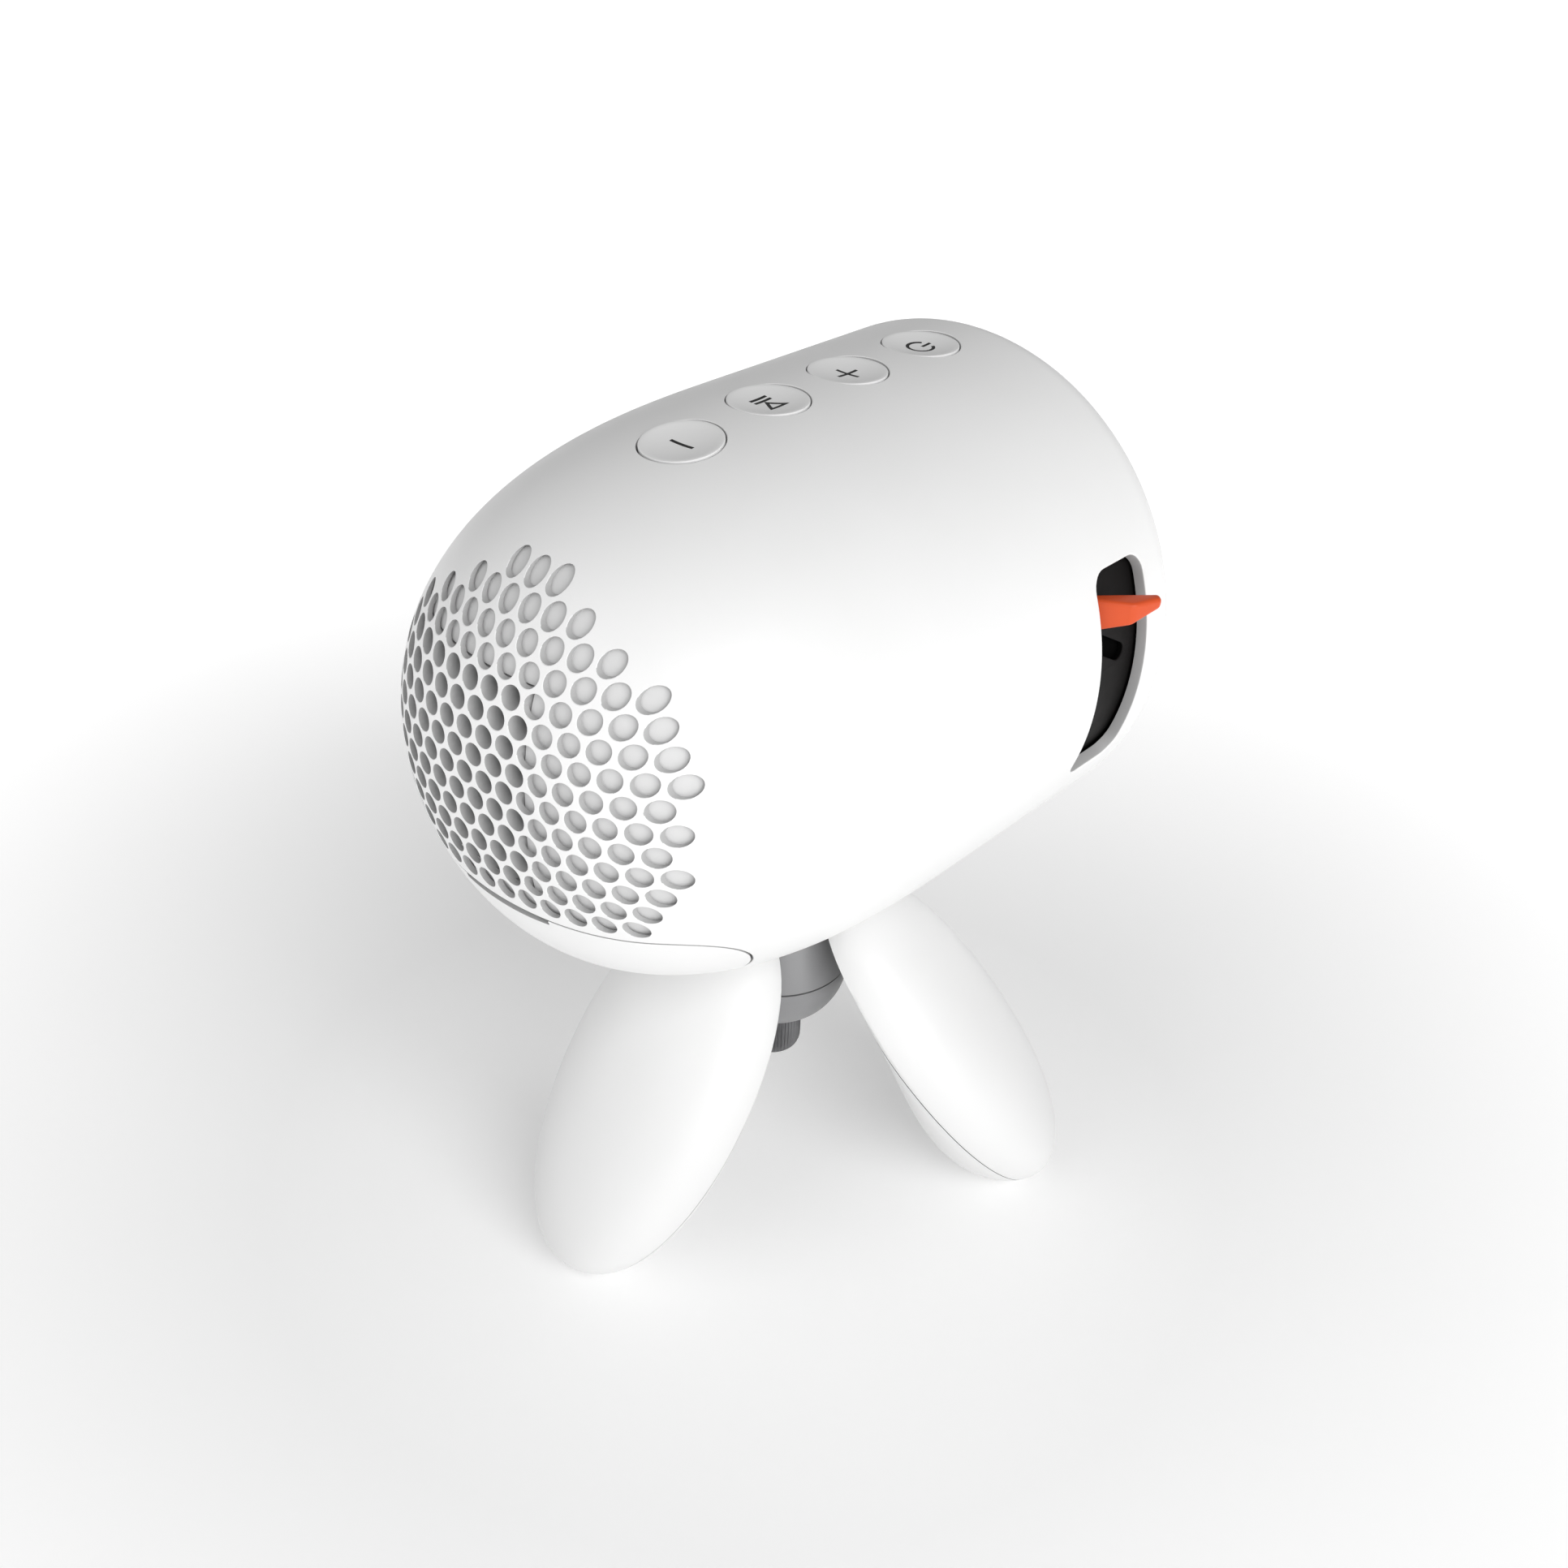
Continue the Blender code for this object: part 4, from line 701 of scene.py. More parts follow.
def make_body_shell(stuff, painted_shade):
    blank = shell_blank("shell_form", grille=True)
    shell = shell_blank("projector_body", stuff, grille=True)
    pad = grille_layer("grille_pad", GRILLE_THIN / 2, GRILLE_THICK, GRILLE_R + MM)
    cut_all(pad, "INTERSECT", [duct_block(-GAP / 2)])
    boss = rod("boss", BOSS_R, tripod_axis_point(BOSS_FOOT), tripod_axis_point(BOSS_TOP))
    cut_all(shell, "UNION", [pad, boss])
    bore = rod("bore", BUSH_R, tripod_axis_point(BODY_R + 5 * MM), tripod_axis_point(25 * MM))
    cutters = [bore, vent_cutter(), slot_cutter(), hatch_cutter(flare(RIM, EDGE_CUT))]
    cutters += [button_well(name, station) for name, station in button_stations().items()]
    add_hatch_hinge(shell, "shell", "hatch", cutters)
    smooth_like(shell, blank)
    paint_shade_on_faces(shell, painted_shade, is_painted_shade_wall)
    shown(shell, "projector", "body_shell", finish="white_plastic")


def finger_scoop():
    """Fingertip pocket out of the hatch's top edge, deepest at the seam."""
    low, high = HATCH_TOP - SCOOP_HEIGHT, HATCH_TOP + 0.2 * MM
    surface = dome_station(-low)
    outside, deep = surface - 4 * MM, surface + SCOOP_DEPTH
    outline = [(outside, low), (surface, low)]
    outline.append((surface + 0.35 * SCOOP_DEPTH, low + 0.3 * SCOOP_HEIGHT))
    outline += [(deep, low + 0.4 * SCOOP_HEIGHT), (deep, high), (outside, high)]
    sideways = Matrix.Rotation(math.pi / 2, 4, "X")
    turn = Matrix.Rotation(-math.pi / 2, 4, "Z") @ sideways
    return prism("finger_scoop", outline, SCOOP_WIDTH, Matrix.Translation(AXIS) @ turn)


def make_hatch(stuff, painted_shade):
    blank = shell_blank("hatch_form")
    hatch = shell_blank("rear_port_hatch", stuff)
    cut_all(hatch, "INTERSECT", [hatch_cutter(flare(RIM, EDGE_CUT, GAP, -1.0))])
    add_hatch_hinge(hatch, "hatch", "shell", [finger_scoop()])
    smooth_like(hatch, blank)
    paint_shade_on_faces(hatch, painted_shade, is_painted_shade_wall)
    shown(hatch, "hatch", "rear_hatch", finish="white_plastic")


def make_liner(stuff):
    near, far = LINER_DEPTH, LINER_DEPTH + LINER_THICKNESS
    liner = grille_layer("vent_blanking", near, far, GRILLE_R - 0.6 * MM, stuff)
    below = block("below", Vector((80, 80, 40)) * MM, body_point(-50 * MM, 0.0, LINER_LOW - 20 * MM))
    cut_all(liner, "DIFFERENCE", [duct_block(GAP / 2), below])
    shown(smooth(liner), "projector", "vent_liner", finish="white_plastic")


LENS_RIM_R = 30.0 * MM
CAP_SPIGOT_R, CAP_SEAM_EDGE = 34.5 * MM, 0.15 * MM
CAP_REAR, CAP_STEP = 38.9 * MM, 40.4 * MM
WINDOW_R = 11.3 * MM
PANEL_FRONT, PANEL_REAR = 42.0 * MM, 39.8 * MM


def make_front_cap(stuff):
    lip = 0.3 * MM
    inner = arc((LENS_RIM_R + lip, BODY_FRONT - lip), lip, 180, 90, 5)
    outer = list(reversed(front_round(seam_angle(CAP_R - CAP_SEAM_EDGE), 90.0, 10)))
    profile = inner + outer
    profile += [(CAP_R, outer[-1][1] - CAP_SEAM_EDGE), (CAP_R, CAP_REAR), (CAP_SPIGOT_R, CAP_REAR)]
    profile += [(CAP_SPIGOT_R, CAP_STEP), (LENS_RIM_R, CAP_STEP)]
    cap = turned_round_body("front_ring", profile, stuff)
    shown(smooth(cap), "projector", "front_cap", finish="white_plastic")


def make_front_panel(stuff):
    edge, chamfer, bevel = LENS_RIM_R - GAP, 0.25 * MM, 0.5 * MM
    profile = [(WINDOW_R + bevel, PANEL_FRONT), (edge - chamfer, PANEL_FRONT)]
    profile += [(edge, PANEL_FRONT - chamfer), (edge, PANEL_REAR), (WINDOW_R, PANEL_REAR)]
    profile.append((WINDOW_R, PANEL_FRONT - bevel))
    panel = turned_round_body("front_fascia", profile, stuff)
    shown(smooth(panel, 30), "projector", "front_panel", finish="gloss_black")


# ------------ buttons

CAP_EDGE = BUTTON_R - BUTTON_SEAM
CAP_RIM = 0.4 * MM
CAP_ROUND = 0.12 * MM
ICON_STROKE = 0.50 * MM
ICON_LIFT = 0.015 * MM
ICON_STEP = 0.3 * MM
SHARPEST_CORNER = 0.4
BAR_HALF, POWER_R, POWER_GAP = 2.0 * MM, 1.9 * MM, 32.0
CAP_SKIRT, CAP_SIDES, DISH_STEPS = 2.2 * MM, 72, 12
STEM_R = 1.4 * MM
FLANGE_EDGE, FLANGE_ROOM, FLANGE_THICK = 0.8 * MM, 0.25 * MM, 1.0 * MM


def dish_height(radius):
    """Height of a button's face over its rim plane, at a distance from its middle."""
    inside = CAP_EDGE - CAP_RIM
    if radius >= inside:
        return 0.0
    return -BUTTON_DISH * (1.0 - (radius / inside) ** 2)


def button_place(station):
    """Matrix of a button's rim plane: its Z is the body's normal, its X is world X."""
    surface = body_point(station, 0.0, dome_radius(station))
    normal = surface_normal(surface)
    across = Vector((1.0, 0.0, 0.0))
    turn = facing_along(across, normal.cross(across), normal)
    return Matrix.Translation(surface - normal * BUTTON_SUNK) @ turn


def button_cap(name, station, stuff):
    """Dished cap with a rounded rim, and its flange and stem under the wall."""
    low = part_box(f"button_{name}")[0]
    profile = [(0.0, dish_height(0.0))]
    for i in range(1, DISH_STEPS + 1):
        radius = (CAP_EDGE - CAP_RIM) * i / DISH_STEPS
        profile.append((radius, dish_height(radius)))
    profile += arc((CAP_EDGE - CAP_ROUND, -CAP_ROUND), CAP_ROUND, 90, 0, 5)
    profile += [(CAP_EDGE, -CAP_SKIRT), (0.0, -CAP_SKIRT)]
    cap = turned(f"key_{name}", profile, Vector((0.0, 0.0, 0.0)), stuff, sides=CAP_SIDES)
    cap.data.transform(button_place(station))
    flange_r = BUTTON_R + FLANGE_EDGE
    reach = min(dome_radius(station - flange_r, WALL), dome_radius(station + flange_r, WALL))
    flange_top = math.sqrt(reach ** 2 - flange_r ** 2) - FLANGE_ROOM
    top = body_point(station, 0.0, flange_top)
    foot = body_point(station, 0.0, flange_top - FLANGE_THICK)
    flange = rod(f"{name}_flange", flange_r, foot, top)
    stem = rod(f"{name}_stem", STEM_R, Vector((0.0, foot.y, low.z)), top, 24)
    cut_all(cap, "UNION", [flange, stem])
    smooth(cap)
    shown(cap, f"button_{name}_body", f"button_{name}", finish="white_plastic")


def stroke(shape, points, place, closed=False):
    """A printed line over a button's dish, along points in the button's plane."""
    path = divided(points, ICON_STEP, closed)
    count = len(path)
    rings = []
    for i, (x, y) in enumerate(path):
        before = path[i - 1] if closed or i else path[i]
        after = path[(i + 1) % count] if closed or i < count - 1 else path[i]
        first = Vector((x - before[0], y - before[1]))
        second = Vector((after[0] - x, after[1] - y))
        first = first if first.length > 0 else second
        second = second if second.length > 0 else first
        first, second = first.normalized(), second.normalized()
        along = (first + second).normalized()
        half = ICON_STROKE / 2 / max(SHARPEST_CORNER, along.dot(first))
        aside = Vector((-along.y, along.x)) * half
        corners = []
        for side, lift in ((1, 1), (-1, 1), (-1, -2), (1, -2)):
            px, py = x + side * aside.x, y + side * aside.y
            height = dish_height(math.hypot(px, py)) + lift * ICON_LIFT
            corners.append(place @ Vector((px, py, height)))
        rings.append(new_ring(shape, corners))
    if closed:
        rings.append(rings[0])
    join_rings(shape, rings, capped=not closed)


def button_icon(name, station, stuff):
    """Generic control mark printed on a button."""
    place = button_place(station)
    shape = bmesh.new()
    if name in ("minus", "plus"):
        stroke(shape, [(-BAR_HALF, 0.0), (BAR_HALF, 0.0)], place)
    if name == "plus":
        stroke(shape, [(0.0, -BAR_HALF), (0.0, -ICON_STROKE / 2)], place)
        stroke(shape, [(0.0, ICON_STROKE / 2), (0.0, BAR_HALF)], place)
    if name == "play":
        triangle = [(-1.9 * MM, -1.4 * MM), (0.25 * MM, 0.0), (-1.9 * MM, 1.4 * MM)]
        stroke(shape, triangle, place, closed=True)
        for x in (0.95 * MM, 1.85 * MM):
            stroke(shape, [(x, -1.6 * MM), (x, 1.6 * MM)], place)
    if name == "power":
        ring = arc((0.0, 0.0), POWER_R, POWER_GAP - 90, 270 - POWER_GAP, 48)
        stroke(shape, ring, place)
        stroke(shape, [(0.0, -0.4 * MM), (0.0, -2.3 * MM)], place)
    icon = from_bmesh(f"key_mark_{name}", shape, stuff)
    shown(smooth(icon, 30), f"button_{name}_body")


# ------------ focus parts

def facing_rear(station):
    """Places an outline upright across the body: its X is world X, its Y is world Z."""
    return Matrix.Translation(body_point(station)) @ Matrix.Rotation(math.pi / 2, 4, "X")


def cam_slot_cutter():
    """Round-ended cam slot that slants across the drum below the lever, with a rounded rim."""
    along = CAM_SLOT_FRONT[0] - CAM_SLOT_REAR[0]
    rise = CAM_SLOT_FRONT[1] - CAM_SLOT_REAR[1]
    half, angle = math.hypot(along, rise) / 2, math.atan2(rise, along)
    middle_s = (CAM_SLOT_FRONT[0] + CAM_SLOT_REAR[0]) / 2
    middle_up = (CAM_SLOT_FRONT[1] + CAM_SLOT_REAR[1]) / 2
    shape = bmesh.new()
    rim = 0.2 * MM
    rows = ((CAM_SLOT_DEPTH, 0.0), (rim, 0.0), (0.3 * rim, 0.3 * rim), (0.0, rim), (-MM, rim + MM))
    rings = []
    for depth, offset in rows:
        radius, reach = DRUM_R - depth, CAM_SLOT_HALF_WIDTH + offset
        points = []
        for u, v in arc((half, 0), reach, -90, 90, 12) + arc((-half, 0), reach, 90, 270, 12):
            s = middle_s + u * math.cos(angle) - v * math.sin(angle)
            up = middle_up + u * math.sin(angle) + v * math.cos(angle)
            points.append(body_point(s, -math.sqrt(radius ** 2 - up ** 2), up))
        rings.append(new_ring(shape, points))
    join_rings(shape, rings)
    return from_bmesh("cam_slot", shape)


def make_focus_drum(stuff, painted_shade):
    """Hub on the lens guide with a web, and a rim that keeps only the part behind the slot."""
    web = DRUM_REAR + DRUM_WALL
    inside, edge = DRUM_R - DRUM_WALL, 0.3 * MM
    profile = [(HUB_R, HUB_FRONT), (HUB_R, web), (inside, web), (inside, DRUM_FRONT)]
    profile += [(DRUM_R - edge, DRUM_FRONT), (DRUM_R, DRUM_FRONT - edge)]
    profile += [(DRUM_R, DRUM_REAR + edge), (DRUM_R - edge, DRUM_REAR), (GUIDE_ROOM, DRUM_REAR)]
    profile += [(GUIDE_ROOM, HUB_REAR), (HUB_BORE, HUB_REAR), (HUB_BORE, HUB_FRONT)]
    drum = turned_round_body("focus_drum", profile, stuff)
    low, high = 180.0 - DRUM_LOW_ANGLE, 180.0 - DRUM_HIGH_ANGLE
    keep = arc((0.0, 0.0), DRUM_R + KEEP_SPARE, low, high, 25)
    keep += arc((0.0, 0.0), HUB_R + 0.5 * MM, high, low - 360.0, 49)
    sector = prism("keep", keep, KEEP_LONG, facing_rear((DRUM_REAR + DRUM_FRONT) / 2))
    cut_all(drum, "INTERSECT", [sector])
    cut_all(drum, "DIFFERENCE", [cam_slot_cutter()])
    # The cam slot's groove and the drum's inner faces are painted black as shadow.
    painted_shadow_r = DRUM_R - PAINTED_SHADOW_DEPTH
    paint_shade_on_faces(drum, painted_shade, lambda f: math.hypot(f.center.x, f.center.z - AXIS.z) < painted_shadow_r)
    shown(smooth(drum, 35), "focus", "focus_ring", finish="dark_plastic")


def lever_ring(shape, height, ends):
    """Corners of one face of the lever: its root at a height, and its (out, station, up) ends."""
    root = math.sqrt(LEVER_ROOT_R ** 2 - height ** 2)
    corners = [(root, LEVER_ROOT_REAR, height), *ends, (root, LEVER_ROOT_FRONT, height)]
    return new_ring(shape, [body_point(station, -out, up) for out, station, up in corners])


def make_focus_lever(stuff):
    """Tab that stands on the drum and slants forward, with every outer edge rounded."""
    shape = bmesh.new()
    ends = (LEVER_ELBOW, LEVER_TIP_REAR, LEVER_TIP_FRONT)
    tops = lever_ring(shape, LEVER_TOP, [(out, station, LEVER_TOP) for out, station, _ in ends])
    unders = lever_ring(shape, LEVER_ROOT_UNDER, ends)
    shape.faces.new(tops)
    shape.faces.new((unders[0], unders[1], unders[4]))
    shape.faces.new((unders[1], unders[2], unders[3], unders[4]))
    join_rings(shape, (tops, unders), capped=False)
    root = {tops[0], tops[4], unders[0], unders[4]}
    fold = {unders[1], unders[4]}
    rounded = [e for e in shape.edges if not set(e.verts) <= root and set(e.verts) != fold]
    bmesh.ops.recalc_face_normals(shape, faces=shape.faces)
    round_edges(shape, rounded, LEVER_ROUNDING, 6)
    lever = from_bmesh("focus_tab", shape, stuff)
    shown(smooth(lever, 60), "focus", "focus_lever", finish="orange_plastic")


# ------------ tripod

def leg_frame(azimuth):
    """Outward and sideways unit vectors of a leg."""
    angle = math.radians(azimuth)
    outward = Vector((math.cos(angle), math.sin(angle), 0.0))
    return outward, Vector((-outward.y, outward.x, 0.0))


def leg_pivot(azimuth):
    outward, _ = leg_frame(azimuth)
    return tripod_axis_point(LEG_PIVOT_DROP) + outward * LEG_PIVOT_REACH


def leg_bore(azimuth, half_length):
    """Hole for a leg's pin, running both ways from the middle of its pivot."""
    pivot, wide = leg_pivot(azimuth), leg_frame(azimuth)[1] * half_length
    return rod("leg_bore", LEG_PIN_R + 0.25 * MM, pivot - wide, pivot + wide, 24)


def petal_point(across_share, along_share, depth_share):
    """Maps a point of a unit sphere onto the pebble form, in the petal's own directions."""
    flat = math.hypot(across_share, along_share)
    level = abs(depth_share)
    outer = depth_share >= 0.0
    power = OUTER_POWER if outer else INNER_POWER
    ring = (1.0 - min(1.0, level) ** power) ** (1.0 / power)
    cosine, sine = (along_share / flat, across_share / flat) if flat > 1e-9 else (0.0, 0.0)
    along = ring * signed_power(cosine, 2 / PETAL_OUTLINE_POWER)
    across = ring * signed_power(sine, 2 / PETAL_OUTLINE_POWER) * (1.0 + PETAL_TAPER * ring * cosine)
    bulge, lean = (OUTER_BULGE, OUTER_LEAN) if outer else (-INNER_BULGE, INNER_LEAN)
    return across * PETAL_WIDTH, along * PETAL_LENGTH, bulge * level * (1.0 + lean * along)


def petal_frame(azimuth):
    """Middle of a petal, with its directions: sideways, towards its foot and out of its face."""
    outward, sideways = leg_frame(azimuth)
    towards_foot = math.sin(PETAL_TILT) * outward - math.cos(PETAL_TILT) * UP
    facing = math.cos(PETAL_TILT) * outward + math.sin(PETAL_TILT) * UP
    return tripod_axis_point(PETAL_DROP) + outward * PETAL_REACH, sideways, towards_foot, facing


def petal_form(name, azimuth, stuff=None, inset=0.0):
    """The pebble form, its outline drawn in by an inset."""
    centre, sideways, towards_foot, facing = petal_frame(azimuth)
    shape = bmesh.new()
    bmesh.ops.create_uvsphere(shape, u_segments=PETAL_SEGMENTS, v_segments=PETAL_RINGS,
                               radius=1.0)
    for vertex in shape.verts:
        across, along, depth = petal_point(vertex.co.x, vertex.co.y, vertex.co.z)
        across *= 1.0 - inset / PETAL_WIDTH
        along *= 1.0 - inset / PETAL_LENGTH
        vertex.co = centre + sideways * across + towards_foot * along + facing * depth
    return from_bmesh(name, shape, stuff)


def petal_seam(azimuth):
    """Fine parting groove round a petal's edge, as a plate with the petal's core taken out."""
    centre, sideways, _, facing = petal_frame(azimuth)
    turn = facing_along(facing, sideways, facing.cross(sideways))
    size = (PETAL_SEAM_WIDE, BEYOND, BEYOND)
    plate = block("petal_seam", size, centre + facing * PETAL_SEAM_SHIFT, turn)
    return cut_all(plate, "DIFFERENCE", [petal_form("petal_core", azimuth, None, PETAL_SEAM_DEEP)])


def make_petal(side, azimuth, stuff, painted_shade):
    """Pebble-shaped leg with room for the hub's tongue and a small flat under its foot."""
    outward, _ = leg_frame(azimuth)
    blank = petal_form("petal_form", azimuth)
    petal = petal_form(f"petal_{side}", azimuth, stuff)
    turn = Matrix.Rotation(math.radians(azimuth), 4, "Z")
    room_size = (TONGUE_ROOM_LONG, TONGUE_WIDTH + 2 * GAP, TONGUE_ROOM_TALL)
    middle = tripod_axis_point(LEG_PIVOT_DROP) + outward * TONGUE_ROOM_REACH
    room = block("tongue_room", room_size, middle, turn)
    hub_room = rod("hub_room", HUB_ROOM_R, tripod_axis_point(50 * MM), tripod_axis_point(38 * MM))
    bore = leg_bore(azimuth, LEG_PIN_HALF + 0.1 * MM)
    foot = middle + outward * BODY_R
    table = block("table", (BEYOND, BEYOND, 10 * MM), Vector((foot.x, foot.y, -5 * MM)))
    cut_all(petal, "DIFFERENCE", [room, hub_room, bore, table, petal_seam(azimuth)])
    smooth_like(petal, blank)
    centre, _, _, facing = petal_frame(azimuth)
    # Faces within the seam groove get a painted shade.
    seam_side = SEAM_SHARE * PETAL_SEAM_WIDE

    def in_painted_shade_seam(face):
        return abs((face.center - centre).dot(facing) - PETAL_SEAM_SHIFT) < seam_side

    paint_shade_on_faces(petal, painted_shade, in_painted_shade_seam)
    shown(petal, f"{side}_leg", f"leg_{side}", finish="white_plastic")


NECK_BORE = 3.5 * MM
NECK_TOP, SHAFT_R = -40.3 * MM, 6.0 * MM
CONE_TOP, CONE_R = -46.4 * MM, 8.6 * MM
SCREW_TIP, SCREW_TOP, SCREW_R = -32.0 * MM, -32.6 * MM, 2.9 * MM
COLLAR_TOP, COLLAR_BOTTOM, COLLAR_BORE, COLLAR_R = -41.4 * MM, -46.1 * MM, 6.3 * MM, 8.4 * MM
TONGUE_R, TONGUE_ROOT = 2.1 * MM, 7.3 * MM
SEAM_R, SEAM_TOP, SEAM_BOTTOM = 0.299 * BODY_R, -1.396 * BODY_R, -1.404 * BODY_R
BOWL_FOOT_R, BOWL_BOTTOM = 0.109 * BODY_R, -1.642 * BODY_R
KNOB_R, KNOB_TOP, KNOB_BOTTOM = 0.117 * BODY_R, -1.650 * BODY_R, -1.869 * BODY_R
KNOB_ROUND, KNOB_EDGE = 0.06 * BODY_R, 0.3 * MM
KNURLS, KNURL_SIDES, KNURL_SHARE, KNURL_REACH = 44, 6, 0.055, 0.4 * MM


def make_neck(stuff):
    edge = 0.2 * MM
    profile = [(NECK_BORE, NECK_TOP), (SHAFT_R, NECK_TOP), (SHAFT_R, CONE_TOP)]
    profile += [(CONE_R - edge, CONE_TOP), (CONE_R, CONE_TOP - edge)]
    profile += [(SEAM_R, SEAM_TOP + edge), (SEAM_R - edge, SEAM_TOP), (NECK_BORE, SEAM_TOP)]
    neck = turned("neck_cone", profile, tripod_axis_point(0.0), stuff)
    shown(smooth(neck, 40), "tripod", "neck", finish="grey_plastic")


def make_neck_bowl(stuff):
    edge = 0.2 * MM
    profile = [(NECK_BORE, SEAM_BOTTOM), (SEAM_R - edge, SEAM_BOTTOM)]
    for cosine, sine in arc((0.0, 0.0), 1.0, 0, 90, 20)[1:]:
        radius = BOWL_FOOT_R + (SEAM_R - BOWL_FOOT_R) * cosine
        profile.append((radius, SEAM_BOTTOM + (BOWL_BOTTOM - SEAM_BOTTOM) * sine))
    profile.append((NECK_BORE, BOWL_BOTTOM))
    bowl = turned("neck_cup", profile, tripod_axis_point(0.0), stuff)
    shown(smooth(bowl, 40), "tripod", "neck_bowl", finish="grey_plastic")


def make_thumb_screw(stuff):
    """Knurled knob with its screw."""
    profile = [(0.0, SCREW_TIP), (SCREW_R, SCREW_TOP), (SCREW_R, KNOB_TOP)]
    profile += [(KNOB_R - KNOB_EDGE, KNOB_TOP), (KNOB_R, KNOB_TOP - KNOB_EDGE)]
    profile += arc((KNOB_R - KNOB_ROUND, KNOB_BOTTOM + KNOB_ROUND), KNOB_ROUND, 0, -90, 10)
    profile.append((0.0, KNOB_BOTTOM))
    centre = tripod_axis_point(0.0)
    screw = turned("thumb_knob", profile, centre, stuff, sides=KNURLS * KNURL_SIDES)
    grip_low = centre.z + KNOB_BOTTOM + KNOB_ROUND * 0.6
    for vertex in screw.data.vertices:
        offset = vertex.co - centre
        out = math.hypot(offset.x, offset.y)
        if out > KNOB_R - KNURL_REACH and vertex.co.z > grip_low:
            turn = math.atan2(offset.y, offset.x) * KNURLS
            shrink = 1.0 - KNURL_SHARE * (0.5 - 0.5 * math.cos(turn))
            vertex.co = centre + Vector((offset.x * shrink, offset.y * shrink, offset.z))
    shown(smooth(screw, 55), "thumb_screw", "tripod_screw", finish="steel")


def make_leg_hub(stuff):
    """Collar round the neck with a round-ended tongue for each leg."""
    profile = [(COLLAR_BORE, COLLAR_TOP), (COLLAR_R, COLLAR_TOP)]
    profile += [(COLLAR_R, COLLAR_BOTTOM), (COLLAR_BORE, COLLAR_BOTTOM)]
    hub = turned("leg_collar", profile, tripod_axis_point(0.0), stuff)
    tongues, bores = [], []
    root = TONGUE_ROOT - LEG_PIVOT_REACH
    outline = [(root, -TONGUE_R)] + arc((0.0, 0.0), TONGUE_R, -90, 90, 20) + [(root, TONGUE_R)]
    for azimuth in PETAL_AZIMUTHS.values():
        outward, _ = leg_frame(azimuth)
        turn = facing_along(outward, UP, outward.cross(UP))
        place = Matrix.Translation(leg_pivot(azimuth)) @ turn
        tongues.append(prism("tongue", outline, TONGUE_WIDTH, place, 0.2 * MM))
        bores.append(leg_bore(azimuth, 12 * MM))
    cut_all(hub, "UNION", tongues)
    cut_all(hub, "DIFFERENCE", bores)
    shown(smooth(hub, 40), "tripod", "leg_hub", finish="grey_plastic")


# ------------ materials

# Floor glow near and far from the middle, and the distances between; the glow is painted light and the
# dim middle a painted soft shadow.
FLOOR_GLOW, GLOW_REACH = (0.16, 0.72), (0.08, 0.30)


class Recipe:
    """Builds one node material: a Principled shader with procedural colour, roughness and bump."""

    def __init__(self, name):
        self.stuff = bpy.data.materials.new(name)
        self.stuff.use_nodes = True
        self.tree = self.stuff.node_tree
        self.shader = self.tree.nodes["Principled BSDF"]
        self.place = self.tree.nodes.new("ShaderNodeTexCoord").outputs["Object"]

    def value(self, **settings):
        for socket, amount in settings.items():
            self.shader.inputs[socket.replace("_", " ")].default_value = amount
        return self

    def node(self, kind, inputs=None, **fields):
        made = self.tree.nodes.new(kind)
        for field, setting in fields.items():
            setattr(made, field, setting)
        for socket, given in (inputs or {}).items():
            if hasattr(given, "is_output"):
                self.tree.links.new(given, made.inputs[socket])
            else:
                made.inputs[socket].default_value = given
        return made

    def noise(self, scale, detail=3.0, roughness=0.55, source=None):
        inputs = {"Vector": source or self.place, "Scale": scale, "Detail": detail}
        inputs["Roughness"] = roughness
        return self.node("ShaderNodeTexNoise", inputs).outputs["Fac"]

    def remap(self, source, low, high, start=0.3, end=0.7):
        inputs = {"Value": source, "From Min": start, "From Max": end, "To Min": low, "To Max": high}
        return self.node("ShaderNodeMapRange", inputs).outputs["Result"]

    def blend(self, factor, first, second):
        mix = self.node("ShaderNodeMix", data_type="RGBA")
        self.tree.links.new(factor, mix.inputs[0])
        for socket, given in ((mix.inputs[6], first), (mix.inputs[7], second)):
            if hasattr(given, "is_output"):
                self.tree.links.new(given, socket)
            else:
                socket.default_value = (*given, 1.0)
        return mix.outputs[2]

    def link(self, source, socket):
        self.tree.links.new(source, self.shader.inputs[socket])
        return self

    def tint(self, source, first, second):
        """Base colour that a texture moves from a first colour to a second."""
        return self.link(self.blend(self.remap(source, 0.0, 1.0), first, second), "Base Color")

    def rough(self, source, low, high):
        return self.link(self.remap(source, low, high), "Roughness")

    def drawn_out(self, stretch, scale, detail):
        """Noise stretched differently along each axis."""
        mapped = self.node("ShaderNodeMapping", {"Vector": self.place, "Scale": stretch})
        return self.noise(scale, detail, 0.6, mapped.outputs["Vector"])

    def bump(self, height, strength, distance, below=None):
        inputs = {"Height": height, "Strength": strength, "Distance": distance}
        if below is not None:
            inputs["Normal"] = below
        return self.node("ShaderNodeBump", inputs).outputs["Normal"]


GRAIN_SCALE = 5200.0


def grey(level):
    return (level, level, level)


def moulded_plastic(name, colour, shade, roughness, grain=0.35, gloss=0.5):
    """Satin moulded plastic: spark-eroded grain, slow colour drift and handling marks."""
    recipe = Recipe(name)
    recipe.tint(recipe.noise(38.0, 2.0), colour, shade)
    recipe.rough(recipe.noise(160.0, 4.0), roughness - 0.05, roughness + 0.05)
    fine = recipe.noise(GRAIN_SCALE, 2.0, 0.6)
    coarse = recipe.noise(GRAIN_SCALE / 4.5, 2.0, 0.5)
    under = recipe.bump(coarse, grain * 0.35, 0.04 * MM)
    recipe.link(recipe.bump(fine, grain, 0.02 * MM, under), "Normal")
    return recipe.value(Specular_IOR_Level=gloss).stuff


